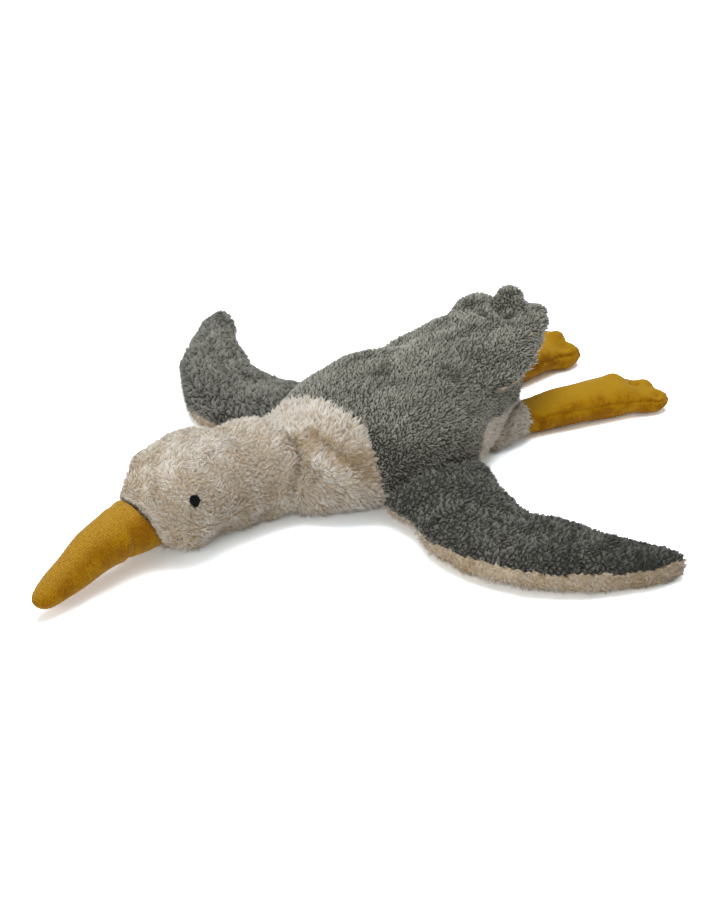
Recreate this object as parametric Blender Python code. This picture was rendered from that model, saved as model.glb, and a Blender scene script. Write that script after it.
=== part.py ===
"""Plush seagull lying on its belly, wings spread and neck stretched forward.

Units are metres, +Z is up. The beak points along -Y, the tail along +Y, and the
bird's own left wing lies on the +X side. Heights are those of the middle of the
pile, so the solids are the stuffed shapes with their fur.
"""

import math

import bmesh
import bpy
from mathutils import Matrix, Vector

# Lengths along the bird, from the tip of the beak to the ends of the toes
BEAK_LENGTH = 0.103
HEAD_LENGTH = 0.080
NECK_LENGTH = 0.042
CHEST_LENGTH = 0.054
BACK_LENGTH = 0.171
TAIL_LENGTH = 0.031

# Half widths of the stuffed body
HEAD_HALF_WIDTH = 0.042
NECK_HALF_WIDTH = 0.037
BODY_HALF_WIDTH = 0.079
RUMP_HALF_WIDTH = 0.046

# Half heights of the stuffed body
HEAD_HALF_HEIGHT = 0.043
NECK_HALF_HEIGHT = 0.039
BODY_HALF_HEIGHT = 0.041

# How far the middle line of each stretch lies beside the bird's line
BEAK_TIP_X = -0.0005
HEAD_X = -0.020
NECK_X = -0.020
BODY_X = -0.006
RUMP_X = -0.017

# Cloth, seams and folds
GAP = 0.0003
REST_FLAT = 0.002
UNDERSIDE_SQUARENESS = 0.2
SEAM_PINCH = 0.0045
SEAM_PINCH_LENGTH = 0.010
BELLY_SEAM_Z = 0.028
COLLAR_BOW = 0.016
COLLAR_SKEW = 0.10
FOLD_DEPTH = 0.006
FOLD_WIDTH = 0.013
FOLD_LOWEST = 0.004
RUMP_TUCK = 0.006
WELD = 0.00002

# Beak
BEAK_ROOT_RADIUS = 0.0228
BEAK_TIP_RADIUS = 0.0105
BEAK_PITCH = math.radians(24.0)
BEAK_SEAT_HEIGHT = 0.0315
FACE_LIFT = 0.003
FACE_TURN_X = 0.003

# Eyes
EYE_RADIUS = 0.0044
EYE_DEPTH = 0.0030
EYE_BEHIND_FACE = 0.022
EYE_RISE = math.radians(23.0)
EYE_INSET_RIGHT = 0.0040

# Wings, in the plan of the left one: distance out from the shoulder, and behind it
WING_LENGTH = 0.200
WING_ROOT_CHORD = 0.106
WING_BEND_CHORD = 0.078
WING_SEAM_Z = 0.013
WING_CROWN = 0.014
WING_ROOT_RISE = 0.024
WING_SINK = 0.012
SHOULDER_BEHIND_COLLAR = 0.028
WING_SWEEP_LEFT = math.radians(0.5)
WING_SWEEP_RIGHT = 0.0

# Tail
TAIL_HALF_WIDTH = 0.044
TAIL_TOP_Z = 0.085
TAIL_CROWN = 0.015
TAIL_RUN = 0.092
TAIL_UNDER = 0.008
TAIL_X = -0.027
LOBE_RADIUS = 0.014
CURL_RADIUS = 0.0125
CURL_RISE = 0.008
LOBE_FLATNESS = 0.75
LOBE_LENGTHENING = 1.7

# Legs
CUFF_LENGTH = 0.050
CUFF_HALF_WIDTH = 0.021
CUFF_HALF_HEIGHT = 0.017
LEG_LENGTH = 0.125
LEG_HALF_WIDTH = 0.0175
LEG_HALF_HEIGHT = 0.0135
FOOT_HALF_WIDTH = 0.0235
TOE_RADIUS = 0.0098
TOE_LENGTH = 0.018
TOE_SLANT_LEFT = 0.012
TOE_SLANT_RIGHT = -0.008
HIP_SPACING = 0.056
HIP_X = -0.019
HIP_INSET = 0.005
HIP_STAGGER = 0.006
SPLAY_LEFT = math.radians(-14.0)
SPLAY_RIGHT = math.radians(8.5)

# Sides of the rings that the bodies are lofted through
TRUNK_SIDES = 36
HEAD_SIDES = 28
LIMB_SIDES = 20
WING_SIDES = 10
TAIL_SIDES = 12
LOBE_SIDES = 16
EYE_SIDES = 12

# Colours of the cloths
CREAM = (0.60, 0.53, 0.42, 1.0)
GREY = (0.16, 0.165, 0.14, 1.0)
MUSTARD = (0.48, 0.25, 0.02, 1.0)
BLACK = (0.01, 0.01, 0.012, 1.0)

# Places along the bird that follow from the lengths
FACE_Y = BEAK_LENGTH
NAPE_Y = FACE_Y + HEAD_LENGTH
NECK_SEAM_Y = NAPE_Y + NECK_LENGTH
COLLAR_Y = NECK_SEAM_Y + CHEST_LENGTH
RUMP_Y = COLLAR_Y + BACK_LENGTH
TAIL_END_Y = RUMP_Y + TAIL_LENGTH
SHOULDER_Y = COLLAR_Y + SHOULDER_BEHIND_COLLAR
HIP_Y = RUMP_Y - HIP_INSET


def clear_scene():
    """Empty the scene."""
    for thing in list(bpy.data.objects):
        bpy.data.objects.remove(thing, do_unlink=True)


def collection(name):
    """A new collection linked to the scene."""
    made = bpy.data.collections.new(name)
    bpy.context.scene.collection.children.link(made)
    return made


clear_scene()
PARTS = collection("plush_seagull")
CUTTERS = collection("cutters")
BIRD = bpy.data.objects.new("bird_origin", None)
PARTS.objects.link(BIRD)


def cloth(name, colour, roughness):
    """A plain cloth material."""
    made = bpy.data.materials.new(name)
    made.use_nodes = True
    shader = made.node_tree.nodes["Principled BSDF"]
    shader.inputs["Base Color"].default_value = colour
    shader.inputs["Roughness"].default_value = roughness
    shader.inputs["Metallic"].default_value = 0.0
    return made


def smooth_rows(rows, steps):
    """Rows of numbers read off one smooth curve through the given rows."""
    out = []
    last = len(rows) - 1
    for k in range(last):
        before = rows[max(k - 1, 0)]
        here = rows[k]
        after = rows[k + 1]
        beyond = rows[min(k + 2, last)]
        for s in range(steps):
            t = s / steps
            row = []
            for a, b, c, d in zip(before, here, after, beyond):
                m0 = (c - a) / 2
                m1 = (d - b) / 2
                row.append(
                    (2 * t**3 - 3 * t**2 + 1) * b
                    + (t**3 - 2 * t**2 + t) * m0
                    + (3 * t**2 - 2 * t**3) * c
                    + (t**3 - t**2) * m1
                )
            out.append(tuple(row))
    out.append(tuple(rows[last]))
    return out


def oval_ring(row, count, grow=0.0):
    """A stuffed section: x, y, z, half width, half height, pitch, squareness."""
    x, y, z, wide, high, pitch, power = row
    wide += grow
    high += grow
    turn = Matrix.Rotation(pitch, 3, "X")
    ring = []
    for k in range(count):
        angle = 2 * math.pi * k / count
        c = math.cos(angle)
        s = math.sin(angle)
        square = power if s > 0 else 2.0 + (power - 2.0) * UNDERSIDE_SQUARENESS
        u = math.copysign(abs(c) ** (2 / square), c) * wide
        v = math.copysign(abs(s) ** (2 / square), s) * high
        point = Vector((x, y, z)) + turn @ Vector((u, 0.0, v))
        point.z = max(point.z, 0.0)
        ring.append(point)
    return ring


def loft(name, rings, target, colour_material=None):
    """One closed body through rings of the same number of points."""
    mesh = bpy.data.meshes.new(name)
    shape = bmesh.new()
    rows = [[shape.verts.new(point) for point in ring] for ring in rings]
    count = len(rings[0])
    for low, high in zip(rows, rows[1:]):
        for k in range(count):
            n = (k + 1) % count
            shape.faces.new((low[k], low[n], high[n], high[k]))
    shape.faces.new(rows[0])
    shape.faces.new(rows[-1])
    bmesh.ops.remove_doubles(shape, verts=shape.verts, dist=WELD)
    bmesh.ops.dissolve_degenerate(shape, edges=shape.edges, dist=WELD / 2)
    bmesh.ops.recalc_face_normals(shape, faces=shape.faces)
    shape.to_mesh(mesh)
    shape.free()
    return place(name, mesh, target, colour_material)


def place(name, mesh, target, colour_material=None):
    """An object for a mesh, in its collection, under the bird's origin."""
    made = bpy.data.objects.new(name, mesh)
    target.objects.link(made)
    made.parent = BIRD
    if target is CUTTERS:
        made.hide_render = True
        made.display_type = "WIRE"
    else:
        mesh.materials.append(colour_material)
        mesh.shade_smooth()
    return made


def boolean(made, other, how):
    """Cut, join or intersect with another object."""
    step = made.modifiers.new(how.lower(), "BOOLEAN")
    step.operation = how
    step.solver = "EXACT"
    step.object = other


def press_fold(made, path, depth, width, toward):
    """Press a soft groove into a body along a path, toward a point inside it."""
    for vert in made.data.vertices:
        best = min(
            (vert.co - nearest_on(vert.co, a, b)).length for a, b in zip(path, path[1:])
        )
        pull = depth * math.exp(-((best / width) ** 2) * 2.0)
        inward = (toward - vert.co).normalized()
        if vert.co.z > FOLD_LOWEST:
            vert.co += inward * pull


def nearest_on(point, a, b):
    """The nearest point of a straight stretch."""
    along = b - a
    share = (point - a).dot(along) / along.length_squared
    return a + along * min(max(share, 0.0), 1.0)


def beak_rows():
    """Sections of the beak, from its seat on the face to the hooked tip."""
    root = BEAK_ROOT_RADIUS
    tip = BEAK_TIP_RADIUS
    span = BEAK_TIP_X - HEAD_X
    mid = (root + tip) / 2
    rows = []
    # share of the length from the tip, radius, height of the middle, pitch
    for share, radius, height, pitch in (
        (1.00, root, BEAK_SEAT_HEIGHT, BEAK_PITCH),
        (0.78, root * 0.92, BEAK_SEAT_HEIGHT * 1.00, BEAK_PITCH * 1.1),
        (0.54, mid * 1.12, BEAK_SEAT_HEIGHT * 0.92, BEAK_PITCH * 1.4),
        (0.32, mid * 0.96, BEAK_SEAT_HEIGHT * 0.70, BEAK_PITCH * 1.9),
        (0.16, tip * 1.25, tip * 1.68, BEAK_PITCH * 2.2),
        (0.06, tip * 1.02, tip * 1.25, BEAK_PITCH * 2.4),
        (0.015, tip * 0.62, tip * 1.00, BEAK_PITCH * 2.4),
        (0.0, tip * 0.12, tip * 0.88, BEAK_PITCH * 2.4),
    ):
        x = BEAK_TIP_X - span * share
        rows.append((x, FACE_Y * share, height, radius * 0.94, radius, pitch, 2.0))
    return rows


def head_rows():
    """Sections of the head and neck, from the face to the seam at the chest."""
    wide = HEAD_HALF_WIDTH
    high = HEAD_HALF_HEIGHT
    neck_wide = NECK_HALF_WIDTH
    neck_high = NECK_HALF_HEIGHT
    face = BEAK_ROOT_RADIUS
    long = HEAD_LENGTH
    low = REST_FLAT
    seat = BEAK_SEAT_HEIGHT
    end = NECK_SEAM_Y - GAP / 2
    turned = HEAD_X + FACE_TURN_X
    return [
        (HEAD_X, FACE_Y + GAP, seat, face * 1.06, face * 1.12, BEAK_PITCH, 2.0),
        (turned, FACE_Y + long * 0.07, seat + FACE_LIFT, wide * 0.63, high * 0.67, BEAK_PITCH, 2.0),
        (turned, FACE_Y + long * 0.24, high * 0.92, wide * 0.88, high * 0.89, BEAK_PITCH * 0.5, 2.1),
        (HEAD_X, FACE_Y + long * 0.50, high - low, wide, high, BEAK_PITCH * 0.2, 2.1),
        (HEAD_X * 1.2, FACE_Y + long * 0.78, high - low, wide * 0.97, high * 0.98, 0.0, 2.1),
        (NECK_X, NAPE_Y, neck_high - low, neck_wide * 1.02, neck_high * 1.01, 0.0, 2.1),
        (NECK_X, NAPE_Y + NECK_LENGTH * 0.4, neck_high - low, neck_wide, neck_high, 0.0, 2.1),
        (NECK_X * 0.9, end - SEAM_PINCH_LENGTH, neck_high - low, neck_wide * 1.1, neck_high, 0.0, 2.1),
        (NECK_X * 0.7, end, neck_high - low, neck_wide * 1.12 - SEAM_PINCH, neck_high - SEAM_PINCH, 0.0, 2.1),
    ]


def trunk_rows():
    """Sections of the whole body, from the neck seam to the rump."""
    wide = BODY_HALF_WIDTH
    high = BODY_HALF_HEIGHT
    low = REST_FLAT
    start = NECK_SEAM_Y + GAP / 2
    neck_wide = NECK_HALF_WIDTH * 1.12 - SEAM_PINCH
    neck_high = NECK_HALF_HEIGHT
    rump = RUMP_HALF_WIDTH
    back = BACK_LENGTH
    return [
        (NECK_X * 0.7, start, neck_high - low, neck_wide, neck_high - SEAM_PINCH, 0.0, 2.1),
        (NECK_X * 0.5, start + SEAM_PINCH_LENGTH, high * 0.90 - low, wide * 0.58, high * 0.90, 0.0, 2.0),
        (BODY_X * 1.2, start + CHEST_LENGTH * 0.6, high * 0.92 - low, wide * 0.76, high * 0.92, 0.0, 2.0),
        (BODY_X, COLLAR_Y, high * 0.97 - low, wide * 0.90, high * 0.97, 0.0, 2.15),
        (BODY_X, COLLAR_Y + back * 0.22, high - low, wide, high, 0.0, 2.6),
        (BODY_X, COLLAR_Y + back * 0.45, high - low, wide * 0.93, high, 0.0, 2.6),
        (RUMP_X * 0.6, COLLAR_Y + back * 0.64, high - low, (wide + rump) * 0.44, high, 0.0, 2.6),
        (RUMP_X, COLLAR_Y + back * 0.82, high - low, rump * 0.94, high * 0.97, 0.0, 2.5),
        (RUMP_X, COLLAR_Y + back * 0.95, high - low, rump * 0.70, high * 0.72, 0.0, 2.3),
        (RUMP_X, RUMP_Y - RUMP_TUCK, high - low, rump * 0.40, high * 0.40, 0.0, 2.0),
    ]


def trunk(name, target, grow=0.0, colour_material=None):
    """The whole stuffed body, before it is parted into its cloths."""
    rings = [oval_ring(row, TRUNK_SIDES, grow) for row in smooth_rows(trunk_rows(), 3)]
    rings[0] = [point - Vector((0.0, grow, 0.0)) for point in rings[0]]
    rings[-1] = [point + Vector((0.0, grow, 0.0)) for point in rings[-1]]
    made = loft(name, rings, target, colour_material)
    middle = Vector((BODY_X, COLLAR_Y, BODY_HALF_HEIGHT))
    press_fold(made, chest_fold(), FOLD_DEPTH, FOLD_WIDTH, middle)
    return made


def chest_fold():
    """The valley that runs slantwise over the chest to the left shoulder."""
    top = 2 * BODY_HALF_HEIGHT
    reach = BODY_HALF_WIDTH
    start = NECK_SEAM_Y
    return [
        Vector((BODY_X - reach * 0.1, start + CHEST_LENGTH * 0.35, top * 0.95)),
        Vector((BODY_X + reach * 0.45, start + CHEST_LENGTH * 0.55, top * 0.86)),
        Vector((BODY_X + reach * 0.95, start + CHEST_LENGTH * 0.75, top * 0.50)),
    ]


def back_zone(name, clearance):
    """The space above the belly seam and behind the collar line."""
    low = BELLY_SEAM_Z + clearance
    high = 4 * BODY_HALF_HEIGHT
    half = 2 * BODY_HALF_WIDTH
    steps = 12
    front = []
    for k in range(steps + 1):
        u = -half + 2 * half * k / steps
        share = min(abs(u) / BODY_HALF_WIDTH, 1.3)
        skew = COLLAR_SKEW * (u - BODY_HALF_WIDTH)
        front.append((BODY_X + u, COLLAR_Y - COLLAR_BOW * share**2 + skew + clearance))
    outline = front + [(BODY_X + half, TAIL_END_Y + half), (BODY_X - half, TAIL_END_Y + half)]
    rings = [[Vector((x, y, z)) for x, y in outline] for z in (low, high)]
    return loft(name, rings, CUTTERS)


def lens_ring(front, rear, seam_z, rise, clearance, count):
    """Half of a flat pad's section: an arch over the straight seam line."""
    ring = []
    for k in range(count + 1):
        t = (1 - math.cos(math.pi * k / count)) / 2
        arch = (1 - abs(2 * t - 1) ** 2.4) ** 0.55
        spot = front.lerp(rear, t)
        z = seam_z + clearance + rise * arch
        ring.append(Vector((spot.x, spot.y, max(z, 0.0))))
    for k in range(count - 1, 0, -1):
        t = (1 - math.cos(math.pi * k / count)) / 2
        spot = front.lerp(rear, t)
        ring.append(Vector((spot.x, spot.y, seam_z + clearance)))
    return ring


def wing_rows(side):
    """Plan of a wing: out and back of both edges, then seam, crown and depth."""
    long = WING_LENGTH
    root = WING_ROOT_CHORD
    bend = WING_BEND_CHORD
    seam = WING_SEAM_Z
    crown = WING_CROWN
    lift = WING_ROOT_RISE
    # front edge out, front edge back, rear edge out, rear edge back, seam, crown
    if side > 0:
        return [
            (-WING_SINK, -0.33 * root, -WING_SINK, 0.55 * root, seam + lift * 0.40, crown + lift * 0.55),
            (long * 0.14, -0.37 * root, long * 0.10, 0.45 * root, seam + lift * 0.20, crown + lift * 0.32),
            (long * 0.34, -0.68 * bend, long * 0.26, 0.54 * bend, seam, crown * 1.1),
            (long * 0.51, -0.63 * bend, long * 0.38, 0.53 * bend, seam, crown * 1.05),
            (long * 0.65, -0.51 * bend, long * 0.51, 0.65 * bend, seam, crown),
            (long * 0.78, -0.25 * bend, long * 0.67, 0.78 * bend, seam, crown),
            (long * 0.89, 0.11 * bend, long * 0.81, 0.90 * bend, seam, crown * 0.9),
            (long * 0.965, 0.52 * bend, long * 0.92, 0.96 * bend, seam, crown * 0.75),
            (long * 0.99, 0.92 * bend, long * 0.97, 1.0 * bend, seam, crown * 0.4),
        ]
    return [
        (-WING_SINK, -0.33 * root, -WING_SINK, 0.45 * root, seam + lift * 0.40, crown + lift * 0.55),
        (long * 0.14, -0.37 * root, long * 0.11, 0.38 * root, seam + lift * 0.20, crown + lift * 0.32),
        (long * 0.34, -0.64 * bend, long * 0.29, 0.44 * bend, seam, crown * 1.1),
        (long * 0.51, -0.54 * bend, long * 0.42, 0.42 * bend, seam, crown * 1.05),
        (long * 0.655, -0.33 * bend, long * 0.54, 0.45 * bend, seam, crown),
        (long * 0.79, -0.05 * bend, long * 0.68, 0.56 * bend, seam, crown),
        (long * 0.90, 0.25 * bend, long * 0.82, 0.72 * bend, seam, crown * 0.9),
        (long * 0.99, 0.58 * bend, long * 0.95, 0.88 * bend, seam, crown * 0.75),
        (long * 1.05, 0.90 * bend, long * 1.04, 0.97 * bend, seam, crown * 0.4),
    ]


def wing_half(name, side, upper, colour_material):
    """One cloth of a wing with the stuffing behind it."""
    sweep = WING_SWEEP_LEFT if side > 0 else WING_SWEEP_RIGHT
    shoulder = Vector((BODY_X + side * (BODY_HALF_WIDTH - WING_SINK), SHOULDER_Y, 0.0))
    turn = Matrix.Rotation(sweep, 3, "Z")
    rings = []
    for row in smooth_rows(wing_rows(side), 2):
        front_out, front_back, rear_out, rear_back, seam, crown = row
        front = turn @ Vector((side * front_out, front_back, 0.0)) + shoulder
        rear = turn @ Vector((side * rear_out, rear_back, 0.0)) + shoulder
        rise = crown if upper else -seam * 1.06
        clearance = GAP / 2 if upper else -GAP / 2
        rings.append(lens_ring(front, rear, seam, rise, clearance, WING_SIDES))
    made = loft(name, rings, PARTS, colour_material)
    boolean(made, TRUNK_CLEAR, "DIFFERENCE")
    return made


def tail_rows(thick):
    """Plan of the tail pad: left edge, right edge and rear line, seam and crown."""
    start = RUMP_Y - TAIL_RUN
    wide = TAIL_HALF_WIDTH
    body = BODY_HALF_WIDTH
    body_top = 2 * BODY_HALF_HEIGHT - REST_FLAT
    rows = []
    # share of the way back, half width, share of the crown, share of the rise
    for share, half, full, lift in (
        (0.0, body * 0.70, 0.85, -0.9),
        (0.22, body * 0.74, 0.95, -0.25),
        (0.50, (body * 0.70 + wide) * 0.54, 1.0, 0.4),
        (0.75, wide * 1.07, 0.95, 0.9),
        (0.92, wide * 0.88, 0.75, 1.0),
        (1.0, wide * 0.66, 0.35, 1.0),
    ):
        y = start + (TAIL_END_Y - start) * share
        x = RUMP_X + (TAIL_X - RUMP_X) * share
        top = body_top + (TAIL_TOP_Z - body_top) * lift
        rows.append((x + half, y, x - half, y, top - TAIL_CROWN, thick * full))
    return rows


def tail_half(name, thick, clearance, target, colour_material=None):
    """One cloth of the tail pad with the stuffing behind it."""
    rings = []
    for row in smooth_rows(tail_rows(thick), 3):
        left_x, left_y, right_x, right_y, seam, crown = row
        left = Vector((left_x, left_y, 0.0))
        right = Vector((right_x, right_y, 0.0))
        rings.append(lens_ring(left, right, seam, crown, clearance, TAIL_SIDES))
    return loft(name, rings, target, colour_material)


def ball(name, centre, size, target):
    """A stretched sphere, as one cutter or lobe."""
    mesh = bpy.data.meshes.new(name)
    shape = bmesh.new()
    bmesh.ops.create_uvsphere(
        shape, u_segments=LOBE_SIDES, v_segments=LOBE_SIDES // 2, radius=1.0
    )
    stretch = Matrix.Translation(centre) @ Matrix.Diagonal((*size, 1.0))
    bmesh.ops.transform(shape, matrix=stretch, verts=shape.verts)
    shape.to_mesh(mesh)
    shape.free()
    return place(name, mesh, target)


def hip_place(side):
    """Where a leg leaves its cuff, on the floor."""
    return Vector((HIP_X + side * HIP_SPACING / 2, HIP_Y + (side - 1) * HIP_STAGGER / 2, 0.0))


def leg(name, side, colour_material):
    """A velour leg that flattens into a foot with three rounded toes."""
    splay = SPLAY_LEFT if side > 0 else SPLAY_RIGHT
    hip = hip_place(side) + Vector((0.0, GAP, 0.0))
    turn = Matrix.Translation(hip) @ Matrix.Rotation(splay, 4, "Z")
    wide = LEG_HALF_WIDTH
    high = LEG_HALF_HEIGHT
    foot = FOOT_HALF_WIDTH
    toe = TOE_RADIUS
    long = LEG_LENGTH - toe
    rows = [
        (0.0, 0.0, high, wide * 0.88, high, 0.0, 2.1),
        (0.0, long * 0.25, high, wide, high * 1.02, 0.0, 2.1),
        (0.0, long * 0.50, high, wide * 1.08, high * 1.02, 0.0, 2.2),
        (0.0, long * 0.75, high * 0.92, (wide + foot) * 0.53, high * 0.95, 0.0, 2.3),
        (0.0, long * 0.85, toe * 1.0, foot * 0.98, toe * 1.0, 0.0, 2.4),
        (0.0, long * 0.93, toe * 0.9, foot * 0.86, toe * 0.75, 0.0, 2.2),
    ]
    rings = [oval_ring(row, LIMB_SIDES) for row in smooth_rows(rows, 3)]
    made = loft(name, rings, PARTS, colour_material)
    made.data.transform(turn)
    spread = foot - toe * 0.85
    slant = TOE_SLANT_LEFT if side > 0 else TOE_SLANT_RIGHT
    for number, out in enumerate((-1.0, 0.0, 1.0)):
        back = -slant * ((1.0 - out) / 2) ** 2
        centre = Vector((out * spread, long + toe - TOE_LENGTH + back, toe * 0.9))
        lobe = ball(f"{name}_toe_{number}", centre, (toe, TOE_LENGTH, toe * 0.9), CUTTERS)
        lobe.data.transform(turn)
        boolean(made, lobe, "UNION")
    boolean(made, TRUNK_CLEAR, "DIFFERENCE")
    return made


def cuff(name, side, colour_material):
    """The furry thigh that the leg comes out of."""
    splay = SPLAY_LEFT if side > 0 else SPLAY_RIGHT
    hip = hip_place(side)
    turn = Matrix.Translation(hip) @ Matrix.Rotation(splay, 4, "Z")
    wide = CUFF_HALF_WIDTH
    high = CUFF_HALF_HEIGHT
    rows = [
        (0.0, -CUFF_LENGTH, high, wide * 0.9, high * 0.9, 0.0, 2.1),
        (0.0, -CUFF_LENGTH * 0.5, high, wide, high, 0.0, 2.1),
        (0.0, -CUFF_LENGTH * 0.15, high, wide, high, 0.0, 2.1),
        (0.0, 0.0, high * 0.95, wide * 0.92, high * 0.93, 0.0, 2.1),
    ]
    rings = [oval_ring(row, LIMB_SIDES) for row in smooth_rows(rows, 2)]
    made = loft(name, rings, PARTS, colour_material)
    made.data.transform(turn)
    boolean(made, TRUNK_CLEAR, "DIFFERENCE")
    return made


def eye(name, side, colour_material):
    """A flat black eye, set on the side of the head."""
    y = FACE_Y + EYE_BEHIND_FACE
    out = HEAD_HALF_WIDTH * 0.985 * math.cos(EYE_RISE)
    up = HEAD_HALF_HEIGHT * math.sin(EYE_RISE)
    out -= EYE_INSET_RIGHT if side < 0 else 0.0
    centre = Vector((HEAD_X + side * out, y, HEAD_HALF_HEIGHT - REST_FLAT + up))
    mesh = bpy.data.meshes.new(name)
    shape = bmesh.new()
    bmesh.ops.create_uvsphere(
        shape, u_segments=EYE_SIDES, v_segments=EYE_SIDES // 2, radius=EYE_RADIUS
    )
    flat = Matrix.Diagonal((1.0, 1.0, EYE_DEPTH / EYE_RADIUS, 1.0))
    face = Vector((side * math.cos(EYE_RISE), 0.0, math.sin(EYE_RISE)))
    tilt = face.to_track_quat("Z", "Y").to_matrix().to_4x4()
    bmesh.ops.transform(shape, matrix=Matrix.Translation(centre) @ tilt @ flat, verts=shape.verts)
    shape.to_mesh(mesh)
    shape.free()
    made = place(name, mesh, PARTS, colour_material)
    boolean(made, HEAD_CLEAR, "DIFFERENCE")
    return made


# Cloths
CREAM_PLUSH = cloth("cream_plush", CREAM, 0.95)
GREY_PLUSH = cloth("grey_plush", GREY, 0.95)
MUSTARD_VELOUR = cloth("mustard_velour", MUSTARD, 0.8)
BLACK_THREAD = cloth("black_thread", BLACK, 0.5)

# Guides that give every neighbour its clearance
TRUNK_CLEAR = trunk("trunk_clear", CUTTERS, 2 * GAP)
HEAD_CLEAR = loft(
    "head_clear", [oval_ring(row, HEAD_SIDES, GAP) for row in smooth_rows(head_rows(), 2)], CUTTERS
)

# Beak, head and neck
loft("beak", [oval_ring(row, LIMB_SIDES) for row in smooth_rows(beak_rows(), 2)], PARTS, MUSTARD_VELOUR)
loft(
    "head_neck",
    [oval_ring(row, HEAD_SIDES) for row in smooth_rows(head_rows(), 2)],
    PARTS,
    CREAM_PLUSH,
)
eye("eye_left", 1, BLACK_THREAD)
eye("eye_right", -1, BLACK_THREAD)

# Chest and belly below the seam, grey back with the top of the tail above it
chest_belly = trunk("chest_belly", PARTS, 0.0, CREAM_PLUSH)
boolean(chest_belly, back_zone("belly_zone", -GAP / 2), "DIFFERENCE")

back = trunk("back", PARTS, 0.0, GREY_PLUSH)
boolean(back, back_zone("back_zone", GAP / 2), "INTERSECT")
boolean(back, tail_half("tail_top", TAIL_CROWN, GAP / 2, CUTTERS), "UNION")
tail_underside = tail_half("tail_underside", -TAIL_UNDER, -GAP / 2, PARTS, CREAM_PLUSH)
boolean(tail_underside, TRUNK_CLEAR, "DIFFERENCE")

# Rounded ends of the tail: across, behind and above its end in lobe radii, then radius
for number, (out, behind, rise, radius) in enumerate(
    (
        (-0.76, -1.50, -0.30, LOBE_RADIUS * 1.1),
        (-0.30, 0.0, CURL_RISE / LOBE_RADIUS, CURL_RADIUS),
        (0.10, -0.20, -0.25, LOBE_RADIUS),
        (0.45, -1.05, -0.30, LOBE_RADIUS),
    )
):
    middle = Vector((TAIL_X + out * TAIL_HALF_WIDTH, TAIL_END_Y, TAIL_TOP_Z - LOBE_RADIUS / 2))
    middle += Vector((0.0, behind, rise)) * LOBE_RADIUS
    curled = radius == CURL_RADIUS
    long = radius if curled else radius * LOBE_LENGTHENING
    size = Vector((radius, long, radius * LOBE_FLATNESS))
    lobe = ball(f"tail_lobe_{number}", middle, size, CUTTERS)
    boolean(back, lobe, "UNION")
    room = ball(f"tail_lobe_room_{number}", middle, size + Vector((1, 1, 1)) * 3 * GAP, CUTTERS)
    boolean(tail_underside, room, "DIFFERENCE")

# Wings, each with a grey top and a cream underside
for side, word in ((1, "left"), (-1, "right")):
    wing_half(f"wing_top_{word}", side, True, GREY_PLUSH)
    wing_half(f"wing_underside_{word}", side, False, CREAM_PLUSH)

# Legs, each in its furry cuff
for side, word in ((1, "left"), (-1, "right")):
    cuff(f"cuff_{word}", side, CREAM_PLUSH)
    leg(f"leg_{word}", side, MUSTARD_VELOUR)


def centre_on_floor():
    """Stand the bird on z = 0 with the middle of its box over the origin."""
    bpy.context.view_layer.update()
    graph = bpy.context.evaluated_depsgraph_get()
    points = []
    for made in PARTS.objects:
        if made.type == "MESH":
            ready = made.evaluated_get(graph)
            points.extend(ready.matrix_world @ vert.co for vert in ready.data.vertices)
    xs = [point.x for point in points]
    ys = [point.y for point in points]
    lowest = min(point.z for point in points)
    BIRD.location = (-(min(xs) + max(xs)) / 2, -(min(ys) + max(ys)) / 2, -lowest)


centre_on_floor()
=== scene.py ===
# %% [markdown]
# # A plush seagull lying on its belly
# The real toy is sewn from three cloths. Cream and grey plush have a long pile of
# curly threads, and the beak and legs are of mustard velour, with a short shiny nap.
# This lesson loads the plain solids of the toy, turns them into stuffed forms, grows
# a pile on them, and looks at the result from where the photographer stood.

import math

import bmesh
import bpy
import numpy as np
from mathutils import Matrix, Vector


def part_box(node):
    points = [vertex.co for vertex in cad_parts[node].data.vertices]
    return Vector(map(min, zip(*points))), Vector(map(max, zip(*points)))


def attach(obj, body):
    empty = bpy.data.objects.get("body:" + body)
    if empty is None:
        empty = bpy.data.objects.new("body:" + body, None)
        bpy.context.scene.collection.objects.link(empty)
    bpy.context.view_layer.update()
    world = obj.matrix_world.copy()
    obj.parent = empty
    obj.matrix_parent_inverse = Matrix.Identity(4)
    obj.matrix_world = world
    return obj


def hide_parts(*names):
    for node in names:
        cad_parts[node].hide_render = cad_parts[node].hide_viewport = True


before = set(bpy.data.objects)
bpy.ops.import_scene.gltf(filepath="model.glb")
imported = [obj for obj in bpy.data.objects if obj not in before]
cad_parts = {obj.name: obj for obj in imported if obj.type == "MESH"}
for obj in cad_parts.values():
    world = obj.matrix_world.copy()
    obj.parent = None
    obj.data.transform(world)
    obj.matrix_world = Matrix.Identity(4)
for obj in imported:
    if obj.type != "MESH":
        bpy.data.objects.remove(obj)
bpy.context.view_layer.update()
scene = bpy.context.scene

# %% [markdown]
# ## Short ways to say the same thing
# Objects, materials and nodes are made in many places below. Each has one small
# function, so that a step shows what it makes and not how it is wired.


# %% Helpers for objects and nodes
def placed(name, data):
    """A new object in the scene."""
    made = bpy.data.objects.new(name, data)
    scene.collection.objects.link(made)
    return made


def socket(tree, name, kind, value=None, way="INPUT"):
    """A named input or output of a tree."""
    made = tree.interface.new_socket(name=name, in_out=way, socket_type=f"NodeSocket{kind}")
    if value is not None:
        made.default_value = value


def joined(tree, kind, inputs, **settings):
    """A node with its settings and what goes into it, by socket name or number."""
    node = tree.nodes.new(kind)
    for key, value in settings.items():
        setattr(node, key, value)
    for key, value in inputs.items():
        if isinstance(value, bpy.types.NodeSocket):
            tree.links.new(value, node.inputs[key])
        else:
            node.inputs[key].default_value = value
    return node


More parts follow.
